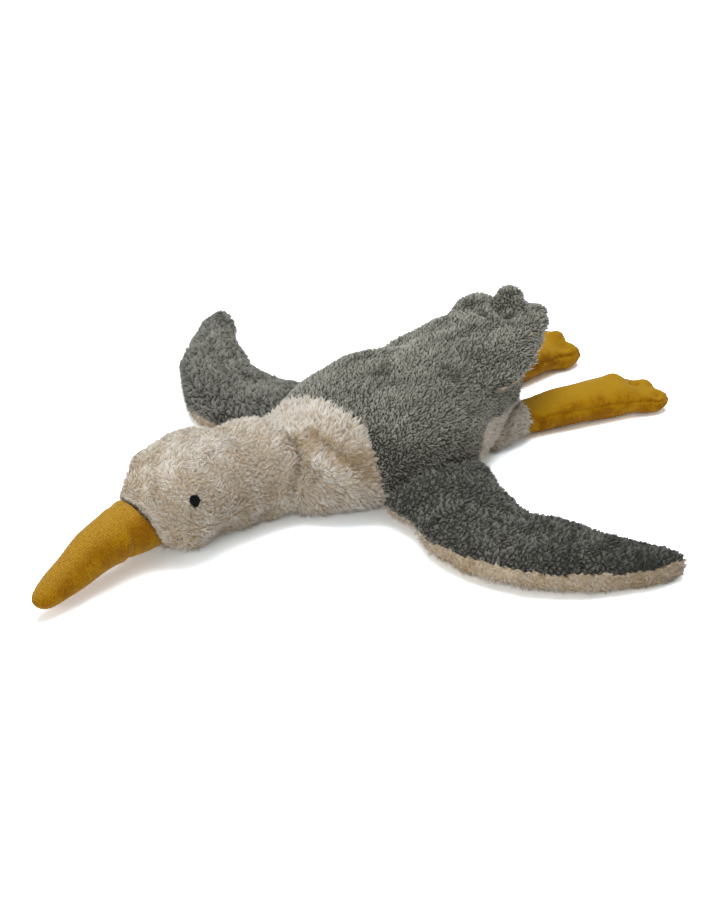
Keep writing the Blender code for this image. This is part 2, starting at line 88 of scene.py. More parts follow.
def number(tree, how, a, b=0.0):
    """A sum on two numbers."""
    return joined(tree, "ShaderNodeMath", {0: a, 1: b}, operation=how).outputs[0]


def blend(tree, factor, a, b):
    """A mix of two colours."""
    return joined(tree, "ShaderNodeMix", {0: factor, 6: a, 7: b}, data_type="RGBA").outputs[2]


def new_material(name, **values):
    """A material with its tree and its main shader, whose own inputs are set."""
    made = bpy.data.materials.new(name)
    made.use_nodes = True
    shader = made.node_tree.nodes["Principled BSDF"]
    for key, value in values.items():
        shader.inputs[key.replace("_", " ")].default_value = value
    return made, made.node_tree, shader


def in_view(tree):
    """1 for what the camera sees, also in a mirror or through glass, and 0 for other light."""
    path = joined(tree, "ShaderNodeLightPath", {}).outputs
    seen = number(tree, "MAXIMUM", path["Is Camera Ray"], path["Is Glossy Ray"])
    return number(tree, "MAXIMUM", seen, path["Is Transmission Ray"])


print("helpers for objects and nodes are ready")

# %% [markdown]
# ## Camera
# The picture was taken with a long lens, from about 28 degrees above the floor and
# half from the side. A camera is placed by saying what it looks at, from which
# direction and how far off, because those three are easy to read off a photograph.

# %% Place the camera
LOOKED_AT = Vector((-0.0356, 0.0521, 0.0))
CAMERA_SIDE = math.radians(49.743)
CAMERA_RISE = math.radians(28.0)
CAMERA_DISTANCE = 3.0
LENS_MM = 157.71

towards_camera = Vector(
    (
        math.sin(CAMERA_SIDE) * math.cos(CAMERA_RISE),
        -math.cos(CAMERA_SIDE) * math.cos(CAMERA_RISE),
        math.sin(CAMERA_RISE),
    )
)
camera = placed("camera", bpy.data.cameras.new("camera"))
camera.location = LOOKED_AT + towards_camera * CAMERA_DISTANCE
camera.rotation_euler = (-towards_camera).to_track_quat("-Z", "Y").to_euler()
camera.data.lens = LENS_MM
camera.data.sensor_width = 36.0
scene.camera = camera
print("camera height in m:", round(camera.location.z, 2))

# %% [markdown]
# ## Light, floor and background
# A white table, a broad lamp above and a bright room give soft shadows. The picture
# is plain white where nothing lies, which takes no extra light on the toy: the floor
# and the world only look whiter to the camera and in reflections.

# %% Light the room
scene.view_settings.view_transform = "Standard"


def soft_lamp(name, place, size, power):
    """A square lamp that points at the toy."""
    data = bpy.data.lights.new(name, "AREA")
    data.shape = "SQUARE"
    data.size = size
    data.energy = power
    lamp = placed(name, data)
    lamp.location = place
    lamp.rotation_euler = (-Vector(place)).to_track_quat("-Z", "Y").to_euler()
    return lamp


soft_lamp("lamp_above", (-0.10, 0.13, 1.8), 1.4, 30.5)
soft_lamp("lamp_side", (0.6, -1.9, 0.5), 1.0, 13.0)

world = bpy.data.worlds.new("room")
scene.world = world
world.use_nodes = True
wires = world.node_tree
wires.nodes.clear()
WHITE = (1.0, 1.0, 1.0, 1.0)
room = joined(wires, "ShaderNodeBackground", {"Color": WHITE, "Strength": 0.27})
seen = joined(wires, "ShaderNodeBackground", {"Color": WHITE, "Strength": 1.0})
both = joined(wires, "ShaderNodeMixShader", {0: in_view(wires), 1: room.outputs[0], 2: seen.outputs[0]})
joined(wires, "ShaderNodeOutputWorld", {"Surface": both.outputs[0]})

# %% Lay the floor
FLOOR_REACH = 12.0
NEAR_WHITE, FAR_WHITE = (2.42, 2.62, 2.80, 1.0), (90.0, 90.0, 90.0, 1.0)

floor_mesh = bpy.data.meshes.new("floor")
corners = [(x * FLOOR_REACH, y * FLOOR_REACH, 0.0) for x, y in ((-1, -1), (1, -1), (1, 1), (-1, 1))]
floor_mesh.from_pydata(corners, [], [(0, 1, 2, 3)])
floor = placed("floor", floor_mesh)
table_top, wires, surface = new_material("white_table", Roughness=1.0, Specular_IOR_Level=0.0)
spot = joined(wires, "ShaderNodeTexCoord", {}).outputs["Object"]
far = joined(wires, "ShaderNodeVectorMath", {0: spot}, operation="LENGTH").outputs["Value"]
further = joined(wires, "ShaderNodeMapRange", {"Value": far, "From Min": 0.5, "From Max": 4.0}).outputs[0]
whitened = blend(wires, further, NEAR_WHITE, FAR_WHITE)
colour = blend(wires, in_view(wires), (0.90, 0.90, 0.90, 1.0), whitened)
wires.links.new(colour, surface.inputs["Base Color"])
floor_mesh.materials.append(table_top)
print("floor reaches", FLOOR_REACH, "m")

# %% [markdown]
# ## Points, normals and smooth noise
# Most shaping here moves all points of a mesh at once, so they are read into one
# table of numbers and written back. A few sine waves in random directions, added up,
# make a smooth noise for dents, swirls of the pile and patches of colour.


# %% Helpers for whole tables of points
def read(rows, key, width=1, kind=np.float32):
    """One number, or one row of numbers, for each item of a mesh."""
    flat = np.empty(len(rows) * width, kind)
    rows.foreach_get(key, flat)
    return flat.reshape(-1, width) if width > 1 else flat


def points_of(mesh):
    """Places of all points of a mesh, one row each."""
    return read(mesh.vertices, "co", 3)


def normals_of(mesh):
    """Outward directions of all points of a mesh."""
    return read(mesh.vertex_normals, "vector", 3)


def edges_of(mesh):
    """Both ends of every edge."""
    return read(mesh.edges, "vertices", 2, np.int32)


def corners_of(mesh):
    """The point at each corner of each face."""
    return read(mesh.loops, "vertex_index", 1, np.int32)


def move_points(mesh, places):
    """Write the places of all points."""
    mesh.vertices.foreach_set("co", np.ascontiguousarray(places, np.float32).ravel())
    mesh.update()


JUST_OVER_FLOOR = 0.0006


def put(made, places):
    """Write the places of a skin's points, none of them in the floor."""
    places[:, 2] = np.maximum(places[:, 2], JUST_OVER_FLOOR)
    move_points(made.data, places)


def lay_map(mesh, name, u, v):
    """A map with a place for each corner."""
    layer = mesh.uv_layers.new(name=name)
    layer.data.foreach_set("uv", np.stack([u, v], axis=1).astype(np.float32).ravel())


def bell(far, width):
    """1 in the middle, and nearly 0 from twice the width on."""
    return np.exp(-((far / width) ** 2))


def rise(value, start, over):
    """0 up to the start, then up to 1 over a stretch."""
    return np.clip((value - start) / over, 0, 1)


def fade(value, end, over):
    """Down to 0 at the end, over a stretch."""
    return np.clip((end - value) / over, 0, 1)


def relaxed(places, edges, rounds, share=0.5):
    """Places drawn toward the middle of their neighbours."""
    degree = np.bincount(edges.ravel(), minlength=len(places)).astype(np.float32)[:, None]
    for _ in range(rounds):
        total = np.zeros_like(places)
        for axis in range(3):
            total[:, axis] += np.bincount(edges[:, 0], places[edges[:, 1], axis], len(places))
            total[:, axis] += np.bincount(edges[:, 1], places[edges[:, 0], axis], len(places))
        places = places + share * (total / np.maximum(degree, 1) - places)
    return places


def smooth_noise(places, size, seed):
    """Noise between about -1 and 1, with lumps of the given size in metres."""
    chance = np.random.default_rng(seed)
    out = np.zeros(len(places))
    for _ in range(9):
        way = chance.normal(size=3)
        way *= 2 * math.pi / (size * 2.0 * chance.uniform(0.7, 1.4) * np.linalg.norm(way))
        out += np.sin(places @ way + chance.uniform(0, 2 * math.pi))
    return out / 3.2


def noise_vectors(places, size, seed):
    """Three noises at once, as a direction."""
    return np.stack([smooth_noise(places, size, seed + k) for k in range(3)], axis=1)


def unit(vectors):
    """Directions of length one."""
    return vectors / np.maximum(np.linalg.norm(vectors, axis=-1, keepdims=True), 1e-9)


def path_distance(places, path):
    """Distance of each point from a path of straight stretches, and the nearest place on it."""
    path = np.asarray(path, float)
    best = np.full(len(places), 9.0)
    spot = np.zeros((len(places), 3))
    for a, b in zip(path, path[1:]):
        along = b - a
        share = np.clip(((places - a) @ along) / (along @ along), 0.0, 1.0)
        near = a + share[:, None] * along
        far = np.linalg.norm(places - near, axis=1)
        closer = far < best
        best[closer] = far[closer]
        spot[closer] = near[closer]
    return best, spot


print("helpers are ready")

# %% [markdown]
# ## From solid to stuffed form
# Each solid becomes one even skin of small squares. It is drawn in by a few
# millimetres, because the solid's surface is the middle of the pile, and then blown
# up as cloth from the inside, the way stuffing fills it.


# %% Sewing and stuffing
def fused_copy(name, nodes):
    """One new object with the welded faces of the named solids."""
    shape = bmesh.new()
    for node in nodes:
        shape.from_mesh(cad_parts[node].data)
    bmesh.ops.remove_doubles(shape, verts=shape.verts, dist=0.00005)
    mesh = bpy.data.meshes.new(name)
    shape.to_mesh(mesh)
    shape.free()
    return placed(name, mesh)


def settle(made):
    """Turn the object with its modifiers into a plain mesh."""
    ready = made.evaluated_get(bpy.context.evaluated_depsgraph_get())
    mesh = bpy.data.meshes.new_from_object(ready)
    old = made.data
    made.modifiers.clear()
    made.data = mesh
    mesh.name = made.name
    bpy.data.meshes.remove(old)
    return made


def even_skin(made, square):
    """One closed skin of even squares."""
    step = made.modifiers.new("even_skin", "REMESH")
    step.mode = "VOXEL"
    step.voxel_size = square
    return settle(made)


def drawn_in(made, depth, rounds=4):
    """Draw the skin in along its normals and smooth it."""
    places = points_of(made.data)
    places = relaxed(places, edges_of(made.data), 1)
    places = places - normals_of(made.data) * depth
    move_points(made.data, relaxed(places, edges_of(made.data), rounds, 0.4))


def stuff(made, pressure, most, frames=20):
    """Blow a skin up as cloth, no point further than the given distance."""
    start = points_of(made.data)
    step = made.modifiers.new("stuffing", "CLOTH")
    step.settings.quality = 4
    step.settings.mass = 0.3
    step.settings.tension_stiffness = 12.0
    step.settings.compression_stiffness = 6.0
    step.settings.bending_stiffness = 0.3
    step.settings.use_pressure = True
    step.settings.uniform_pressure_force = pressure
    step.settings.effector_weights.gravity = 0.0
    step.collision_settings.use_collision = False
    step.point_cache.frame_start = 1
    step.point_cache.frame_end = frames
    for moment in range(1, frames + 1):
        scene.frame_set(moment)
    settle(made)
    scene.frame_set(1)
    move = points_of(made.data) - start
    far = np.linalg.norm(move, axis=1, keepdims=True)
    places = start + move * np.minimum(1.0, most / np.maximum(far, 1e-9))
    put(made, places)
    print(made.name, "points:", len(places), "moved up to", round(1000 * float(far.max()), 1), "mm")


def press(made, path, depth, width, inward):
    """Press a groove into the skin along a path, toward a place inside."""
    places = points_of(made.data)
    far, _ = path_distance(places, path)
    pull = depth * bell(far, width)
    way = unit(np.asarray(inward, float) - places)
    places = places + way * pull[:, None]
    put(made, places)


def shift(made, path, move, width):
    """Move the skin along a path by the given distances."""
    places = points_of(made.data)
    far, _ = path_distance(places, path)
    places = places + bell(far, width)[:, None] * np.array(move)
    put(made, places)


# %% [markdown]
# ## The body
# Head, neck, chest, belly, back and tail are one stuffed bag with seams between its
# cloths, so they are blown up as one. After that the creases of this lying bird are
# pressed in: round the neck, slantwise over the chest, and long soft furrows in the
# back, where the cloth lies slack.

# %% Stuff the body and press its creases
BEAK_SEAT = [
    (-0.0250, -0.1900, 0.0400), (-0.0173, -0.1934, 0.0488), (-0.0072, -0.1928, 0.0520),
    (0.0005, -0.1889, 0.0506), (0.0095, -0.1860, 0.0485), (0.0153, -0.1825, 0.0431),
    (0.0174, -0.1790, 0.0346), (0.0156, -0.1761, 0.0254), (0.0036, -0.1700, 0.0114),
]
NECK_CREASE = [
    (0.0188, -0.0550, 0.0671), (0.0268, -0.0560, 0.0608), (0.0303, -0.0571, 0.0544),
    (0.0335, -0.0607, 0.0487), (0.0348, -0.0637, 0.0420), (0.0349, -0.0657, 0.0345),
    (0.0328, -0.0660, 0.0245),
]
NECK_CURL = [(0.0207, -0.0678, 0.0673), (0.0186, -0.0605, 0.0673), (0.0221, -0.0569, 0.0642)]
CHEST_VALLEY = [
    (0.0223, -0.0428, 0.0677), (0.0318, -0.0412, 0.0644), (0.0397, -0.0374, 0.0605),
    (0.0462, -0.0334, 0.0568), (0.0520, -0.0297, 0.0529), (0.0572, -0.0265, 0.0482),
    (0.0619, -0.0247, 0.0428),
]
HEAD_PARTING = [
    (-0.0018, -0.1510, 0.0819), (0.0053, -0.1475, 0.0811), (0.0102, -0.1432, 0.0800),
    (0.0139, -0.1307, 0.0772), (0.0110, -0.1247, 0.0780), (0.0126, -0.1077, 0.0729),
]
BROW_FOLD = [(-0.0017, -0.1768, 0.0698), (-0.0024, -0.1706, 0.0746), (-0.0053, -0.1629, 0.0789)]
FOREHEAD = [(-0.0250, -0.1686, 0.0682), (-0.0240, -0.1740, 0.0652), (-0.0180, -0.1815, 0.0600)]
CROWN = [(-0.0240, -0.1625, 0.0745), (-0.0230, -0.1560, 0.0775)]
NECK_TOP = [(-0.0200, -0.0950, 0.0740), (-0.0187, -0.0817, 0.0743), (-0.0095, -0.0704, 0.0758)]
UNDER_CHIN = [
    (0.0270, -0.1430, 0.0140), (0.0250, -0.1270, 0.0140), (0.0219, -0.1107, 0.0120),
    (0.0240, -0.0950, 0.0120), (0.0235, -0.0800, 0.0120),
]
CHEST_ROLL = [
    (0.0378, -0.0501, 0.0550), (0.0460, -0.0455, 0.0485), (0.0532, -0.0393, 0.0427),
    (0.0594, -0.0322, 0.0378),
]
FAR_FLANK = [(-0.0460, 0.0960, 0.0735), (-0.0450, 0.1120, 0.0765)]
FAR_RISE = [(-0.0420, 0.0480, 0.0750), (-0.0390, 0.0620, 0.0755), (-0.0400, 0.0780, 0.0740)]
TAIL_CORNER = [(-0.0050, 0.2085, 0.0823), (0.0030, 0.2050, 0.0800)]
TAIL_SIDE = [(0.0350, 0.1566, 0.0740), (0.0395, 0.1372, 0.0728), (0.0430, 0.1270, 0.0710)]
TAIL_FLANK = [(0.0280, 0.1560, 0.0580), (0.0350, 0.1400, 0.0560)]
INSIDE_HEAD = (-0.015, -0.145, 0.04)
INSIDE_NECK = (-0.008, -0.056, 0.035)
INSIDE_CHEST = (0.0, 0.0, 0.03)
TAIL_FOLDS = [
    [
        (-0.0401, 0.1904, 0.0818), (-0.0325, 0.1857, 0.0809), (-0.0230, 0.1802, 0.0828),
        (-0.0134, 0.1757, 0.0835), (-0.0079, 0.1779, 0.0832), (-0.0056, 0.1862, 0.0831),
        (-0.0095, 0.1928, 0.0847),
    ],
    [(-0.0448, 0.1688, 0.0842), (-0.0286, 0.1646, 0.0831), (-0.0125, 0.1625, 0.0838)],
    [(-0.0079, 0.1779, 0.0832), (0.0014, 0.1695, 0.0833)],
]
INSIDE_TAIL = (-0.016, 0.158, 0.060)

body = fused_copy("body", ["head_neck", "chest_belly", "back", "tail_underside"])
even_skin(body, 0.0032)
drawn_in(body, 0.0020, 2)
stuff(body, 4.0, 0.0025)
for path, depth, width, inward in (
    (BEAK_SEAT, -0.0016, 0.0045, (-0.004, -0.165, 0.030)),
    (NECK_CREASE, 0.0080, 0.0050, INSIDE_NECK),
    (NECK_CURL, 0.0020, 0.0030, INSIDE_NECK),
    (CHEST_VALLEY, 0.0055, 0.0060, INSIDE_CHEST),
    (HEAD_PARTING, 0.0014, 0.0030, INSIDE_HEAD),
    (BROW_FOLD, 0.0014, 0.0030, INSIDE_HEAD),
    (FOREHEAD, -0.0028, 0.0090, (-0.012, -0.160, 0.045)),
    (CROWN, -0.0034, 0.0100, (-0.005, -0.145, 0.050)),
    (NECK_TOP, -0.0022, 0.0120, (-0.015, -0.080, 0.040)),
    (UNDER_CHIN, 0.0062, 0.0110, (-0.010, -0.110, 0.050)),
    (CHEST_ROLL, -0.0038, 0.0065, INSIDE_CHEST),
    (FAR_FLANK, 0.0050, 0.0110, (0.0, 0.10, 0.055)),
    (TAIL_CORNER, -0.0040, 0.0070, (-0.020, 0.175, 0.068)),
):
    press(body, path, depth, width, inward)
for path, move, width in (
    (FAR_RISE, (-0.0015, 0.0, 0.0036), 0.0130),
    (TAIL_SIDE, (0.0062, 0.0060, -0.0030), 0.0120),
    (TAIL_FLANK, (0.0045, 0.0050, 0.0), 0.0120),
):
    shift(body, path, move, width)
for fold, depth in zip(TAIL_FOLDS, (0.0065, 0.0035, 0.0035)):
    press(body, fold, depth, 0.0036, INSIDE_TAIL)
print("body skin:", len(body.data.polygons), "squares")

# %% Furrows and dents of the slack cloth
places = points_of(body.data)
normals = normals_of(body.data)
stretched = places * np.array([1.0, 0.28, 1.0])
furrows = smooth_noise(stretched, 0.011, 41)
dents = smooth_noise(places, 0.020, 52)
on_back = rise(places[:, 1], 0.0, 0.03) * rise(places[:, 2], 0.035, 0.02)
on_head = fade(places[:, 1], -0.061, 0.02)
depth = 0.0006 * furrows * on_back + 0.0005 * dents + 0.0004 * smooth_noise(places, 0.009, 63) * on_head
places = places + normals * depth[:, None]
put(body, places)
print("furrows up to", round(1000 * float(np.abs(depth).max()), 1), "mm")

# %% [markdown]
# ## The wings
# A wing is a flat pad: grey plush above, cream plush below, with the seam round its
# rim. Its root reaches a little way into the body's side, as it is sewn in there.


# %% Stuff the wings
BODY_X = 0.0063


def stuffed_wing(side, word):
    """The skin of one wing."""
    wing = fused_copy(f"wing_{word}", [f"wing_top_{word}", f"wing_underside_{word}"])
    even_skin(wing, 0.0038)
    drawn_in(wing, 0.0004 if side > 0 else -0.0004)
    stuff(wing, 3.0, 0.0018)
    places = points_of(wing.data)
    out = side * (places[:, 0] - BODY_X)
    places[:, 0] -= side * 0.010 * fade(out, 0.085, 0.02)
    places[:, 0] -= side * 0.0048 * rise(out, 0.235, 0.03)
    lumps = 0.0011 * smooth_noise(places, 0.026, 71 + side) + 0.0004 * smooth_noise(places, 0.011, 81 + side)
    places = places + normals_of(wing.data) * lumps[:, None]
    if side > 0:
        front = fade(places[:, 1], 0.01, 0.02)
        places[:, 1] -= 0.0035 * front * bell(out - 0.100, 0.030)
    places[:, 1] += 0.0009
    put(wing, places)
    return wing


wings = {"left": stuffed_wing(1, "left"), "right": stuffed_wing(-1, "right")}
print("wing skins:", {word: len(wing.data.polygons) for word, wing in wings.items()})

# %% [markdown]
# ## Thighs
# Short furry tubes that the velour legs come out of.


# %% Stuff the thighs
def stuffed_thigh(word):
    """The skin of one thigh."""
    thigh = fused_copy(f"thigh_{word}", [f"cuff_{word}"])
    even_skin(thigh, 0.0030)
    drawn_in(thigh, 0.0008)
    stuff(thigh, 3.0, 0.0015)
    places = points_of(thigh.data)
    at_root = fade(places[:, 1], places[:, 1].min() + 0.022, 0.02)[:, None]
    places = places + at_root * (normals_of(thigh.data) * 0.0060 + np.array([0.0, -0.004, 0.0]))
    put(thigh, places)
    return thigh


thighs = {word: stuffed_thigh(word) for word in ("left", "right")}

# %% [markdown]
# ## Pile
# Plush is thousands of threads that cling together in small locks. Geometry Nodes
# can grow them: one scatter of roots, a coarser scatter of lock centres, and a thin
# bent cone at each root that leans with the nap and toward its lock. The cone has
# nine faces, so that a whole bird stays light.


# %% The thread grower
def vector(tree, how, a, b=(0.0, 0.0, 0.0)):
    """A sum on two vectors."""
    return joined(tree, "ShaderNodeVectorMath", {0: a, 1: b}, operation=how).outputs[0]


def scaled(tree, a, by):
    """A vector times a number."""
    return joined(tree, "ShaderNodeVectorMath", {0: a, "Scale": by}, operation="SCALE").outputs[0]


def chance(tree, low, high, seed, vectors=False):
    """A random number or vector for each point."""
    kind = "FLOAT_VECTOR" if vectors else "FLOAT"
    first = 0 if vectors else 2
    node = joined(
        tree, "FunctionNodeRandomValue", {first: low, first + 1: high, "Seed": seed}, data_type=kind
    )
    return node.outputs[0 if vectors else 1]


def kept(tree, name, kind):
    """A named value that the skin carries."""
    return joined(tree, "GeometryNodeInputNamedAttribute", {"Name": name}, data_type=kind).outputs[0]


def keep(tree, geometry, name, value):
    """The geometry, whose points carry one more named number."""
    stored = {"Geometry": geometry, "Name": name, "Value": value}
    kind = {"data_type": "FLOAT", "domain": "POINT"}
    return joined(tree, "GeometryNodeStoreNamedAttribute", stored, **kind).outputs[0]


def turned_to(tree, first, first_axis, second, second_axis):
    """The turn that points one axis along a direction and a second one near another."""
    ways = {"Primary Axis": first, "Secondary Axis": second}
    axes = {"primary_axis": first_axis, "secondary_axis": second_axis}
    return joined(tree, "FunctionNodeAxesToRotation", ways, **axes).outputs[0]


def scatter(tree, skin, spacing, factor, seed):
    """Points on the skin, no two closer than the spacing."""
    crowd = number(tree, "DIVIDE", 2.2, number(tree, "MULTIPLY", spacing, spacing))
    return joined(
        tree,
        "GeometryNodeDistributePointsOnFaces",
        {"Mesh": skin, "Distance Min": spacing, "Density Max": crowd, "Density Factor": factor, "Seed": seed},
        distribute_method="POISSON",
    )


def set_out(tree, points, piece, turn, size):
    """A copy of the piece at each point, as real geometry."""
    copies = {"Points": points, "Instance": piece, "Rotation": turn, "Scale": size}
    copied = joined(tree, "GeometryNodeInstanceOnPoints", copies)
    return joined(tree, "GeometryNodeRealizeInstances", {0: copied.outputs[0]}).outputs[0]


def put_out(tree, geometry, material):
    """The end of a tree: its geometry in one material."""
    dyed = joined(tree, "GeometryNodeSetMaterial", {"Geometry": geometry, "Material": material})
    joined(tree, "NodeGroupOutput", {0: dyed.outputs[0]})


def thread(tree, curl):
    """One thread: a cone of unit height that bends over as it rises."""
    cone = joined(
        tree,
        "GeometryNodeMeshCone",
        {"Vertices": 3, "Side Segments": 2, "Radius Top": 0.0, "Radius Bottom": 0.5, "Depth": 1.0},
        fill_type="NONE",
    )
    place = joined(tree, "GeometryNodeInputPosition", {}).outputs[0]
    height = joined(tree, "ShaderNodeSeparateXYZ", {0: place}).outputs["Z"]
    bend = number(tree, "MULTIPLY", number(tree, "POWER", height, 1.7), curl)
    fuller = number(tree, "MULTIPLY", number(tree, "SINE", number(tree, "MULTIPLY", height, math.pi)), 0.5)
    wide = joined(tree, "ShaderNodeCombineXYZ", {0: fuller, 1: fuller, 2: 0.0}).outputs[0]
    over = joined(tree, "ShaderNodeCombineXYZ", {0: bend, 1: 0.0, 2: 0.0}).outputs[0]
    bent = vector(tree, "ADD", vector(tree, "MULTIPLY", place, wide), over)
    moved = joined(tree, "GeometryNodeSetPosition", {"Geometry": cone.outputs["Mesh"], "Offset": bent})
    marked = keep(tree, moved.outputs[0], "along", height)
    return joined(tree, "GeometryNodeSetShadeSmooth", {"Geometry": marked}).outputs[0]


GROWTH = (
    "Spacing", "Length", "Width", "Upright", "Lean", "Curl", "Curl Straying",
    "Lock Size", "Gathering", "Lock Straying", "Thread Straying", "Mottling",
)


def pile_tree():
    """The tree that grows a pile on a skin."""
    tree = bpy.data.node_groups.new("plush_pile", "GeometryNodeTree")
    socket(tree, "Skin", "Geometry")
    for name in GROWTH:
        socket(tree, name, "Float")
    socket(tree, "Seed", "Int", 1)
    socket(tree, "Material", "Material")
    socket(tree, "Pile", "Geometry", way="OUTPUT")
    given = tree.nodes.new("NodeGroupInput").outputs
    seed = given["Seed"]

    roots = scatter(tree, given["Skin"], given["Spacing"], kept(tree, "cover", "FLOAT"), seed)
    other_seed = number(tree, "ADD", seed, 11.0)
    locks = scatter(tree, given["Skin"], given["Lock Size"], 1.0, other_seed).outputs["Points"]
    place = joined(tree, "GeometryNodeInputPosition", {}).outputs[0]
    around = {"Geometry": locks, "Sample Position": place}
    nearest = joined(tree, "GeometryNodeSampleNearest", around).outputs[0]

    def of_lock(value, kind):
        """A value of the lock that a root belongs to."""
        found = {"Geometry": locks, "Value": value, "Index": nearest}
        return joined(tree, "GeometryNodeSampleIndex", found, data_type=kind).outputs[0]

    lock_place = of_lock(place, "FLOAT_VECTOR")
    lock_swing = of_lock(chance(tree, (-1, -1, -1), (1, 1, 1), 3, True), "FLOAT_VECTOR")
    lock_size = of_lock(chance(tree, 0.8, 1.2, 4), "FLOAT")
    lock_tone = of_lock(chance(tree, -1.0, 1.0, 5), "FLOAT")
    lay = kept(tree, "lay", "FLOAT_VECTOR")
    length = number(tree, "MULTIPLY", given["Length"], kept(tree, "tall", "FLOAT"))

    upright = scaled(tree, roots.outputs["Normal"], given["Upright"])
    stray = chance(tree, (-1, -1, -1), (1, 1, 1), 6, True)
    nap = upright
    for push, by in ((lay, "Lean"), (lock_swing, "Lock Straying"), (stray, "Thread Straying")):
        nap = vector(tree, "ADD", nap, scaled(tree, push, given[by]))
    nap = scaled(tree, nap, length)
    to_lock = vector(tree, "SUBTRACT", lock_place, place)
    nap = vector(tree, "ADD", nap, scaled(tree, to_lock, given["Gathering"]))

    sideways = vector(tree, "ADD", lay, scaled(tree, lock_swing, given["Curl Straying"]))
    turn = turned_to(tree, nap, "Z", sideways, "X")
    tall = number(tree, "MULTIPLY", number(tree, "MULTIPLY", length, lock_size), chance(tree, 0.8, 1.15, 7))
    wide = number(tree, "MULTIPLY", given["Width"], chance(tree, 0.7, 1.3, 8))
    size = joined(tree, "ShaderNodeCombineXYZ", {0: wide, 1: wide, 2: tall}).outputs[0]

    tone = number(tree, "ADD", lock_tone, chance(tree, -1.0, 1.0, 9))
    tone = number(tree, "MULTIPLY", tone, given["Mottling"])
    tone = number(tree, "ADD", tone, kept(tree, "tone", "FLOAT"))
    toned = keep(tree, roots.outputs["Points"], "tone", tone)
    slim = number(tree, "DIVIDE", given["Length"], given["Width"])
    strand = thread(tree, number(tree, "MULTIPLY", given["Curl"], slim))
    real = set_out(tree, toned, strand, turn, size)
    part = joined(tree, "ShaderNodeSeparateXYZ", {0: place})
    above = number(tree, "MAXIMUM", part.outputs["Z"], 0.0005)
    stopped = joined(tree, "ShaderNodeCombineXYZ", {0: part.outputs["X"], 1: part.outputs["Y"], 2: above})
    rested = joined(tree, "GeometryNodeSetPosition", {"Geometry": real, "Position": stopped.outputs[0]})
    put_out(tree, rested.outputs[0], given["Material"])
    return tree


PILE = pile_tree()
print("pile tree:", len(PILE.nodes), "nodes")

# %% [markdown]
# ## Dyes of the pile
# A plush thread is darker at its root, where little light gets in, and paler at its
# tip; this darker root is painted shade. No two locks take the dye quite alike. Both
# go into one small group of nodes: how far up the thread, and the tone of the lock,
# give the colour. The tone also carries painted shade in creases and painted light on tops.

# %% Mix the dyes and the painted root shade
SHADE = bpy.data.node_groups.new("thread_dye_and_shade", "ShaderNodeTree")
for name in ("Deep", "Root", "Tip", "Pale"):
    socket(SHADE, name, "Color")
for name in ("Along", "Tone"):
    socket(SHADE, name, "Float")
socket(SHADE, "Colour", "Color", way="OUTPUT")


def between(tree, value, low, high):
    """How far a number is from low to high, from 0 to 1, with soft ends."""
    limits = {"Value": value, "From Min": low, "From Max": high}
    return joined(tree, "ShaderNodeMapRange", limits, interpolation_type="SMOOTHSTEP").outputs[0]


def fill_shade():
    """The nodes inside the group of dye and painted root shade."""
    given = SHADE.nodes.new("NodeGroupInput").outputs
    rising = between(SHADE, given["Along"], 0.0, 0.9)
    # The foot of each thread is painted darker: painted shade where little light gets into the pile.
    root_shade_and_grain = blend(SHADE, rising, given["Root"], given["Tip"])
    dark = blend(SHADE, between(SHADE, given["Tone"], 0.5, 0.0), root_shade_and_grain, given["Deep"])
    light = blend(SHADE, between(SHADE, given["Tone"], 0.5, 1.0), dark, given["Pale"])
    joined(SHADE, "NodeGroupOutput", {0: light})


fill_shade()


def grouped(tree, group, **values):
    """What a group puts out in a material, with the values given to it."""
    return joined(tree, "ShaderNodeGroup", values, node_tree=group).outputs[0]


def carried(tree, name):
    """A number that the mesh carries."""
    return joined(tree, "ShaderNodeAttribute", {}, attribute_name=name).outputs["Fac"]


def cloud(tree, scale, detail=2.0, **more):
    """Soft noise that stays with the piece."""
    place = joined(tree, "ShaderNodeTexCoord", {}).outputs["Object"]
    inputs = {"Vector": place, "Scale": scale, "Detail": detail, **more}
    return joined(tree, "ShaderNodeTexNoise", inputs).outputs[0]


def raised(tree, cloth, height, strength, distance):
    """Small heights that only the light shows."""
    bump = joined(tree, "ShaderNodeBump", {"Height": height, "Strength": strength, "Distance": distance})
    tree.links.new(bump.outputs[0], cloth.inputs["Normal"])


def thread_dye_and_shade(name, deep, root, tip, pale):
    """The material of one pile, whose thread roots are painted darker as shade."""
    made, tree, cloth = new_material(
        name, Roughness=0.85, Specular_IOR_Level=0.25, Sheen_Weight=0.25, Sheen_Roughness=0.5
    )
    along, tone = carried(tree, "along"), carried(tree, "tone")
    dye = grouped(tree, SHADE, Deep=deep, Root=root, Tip=tip, Pale=pale, Along=along, Tone=tone)
    tree.links.new(dye, cloth.inputs["Base Color"])
    return made


def backing_dye(name, deep, plain):
    """The material of the knitted cloth that the threads stand in."""
    made, tree, cloth = new_material(name, Roughness=0.95, Specular_IOR_Level=0.1)
    knit = cloud(tree, 420.0, 3.0)
    tree.links.new(blend(tree, between(tree, knit, 0.35, 0.65), deep, plain), cloth.inputs["Base Color"])
    raised(tree, cloth, knit, 0.6, 0.0006)
    return made
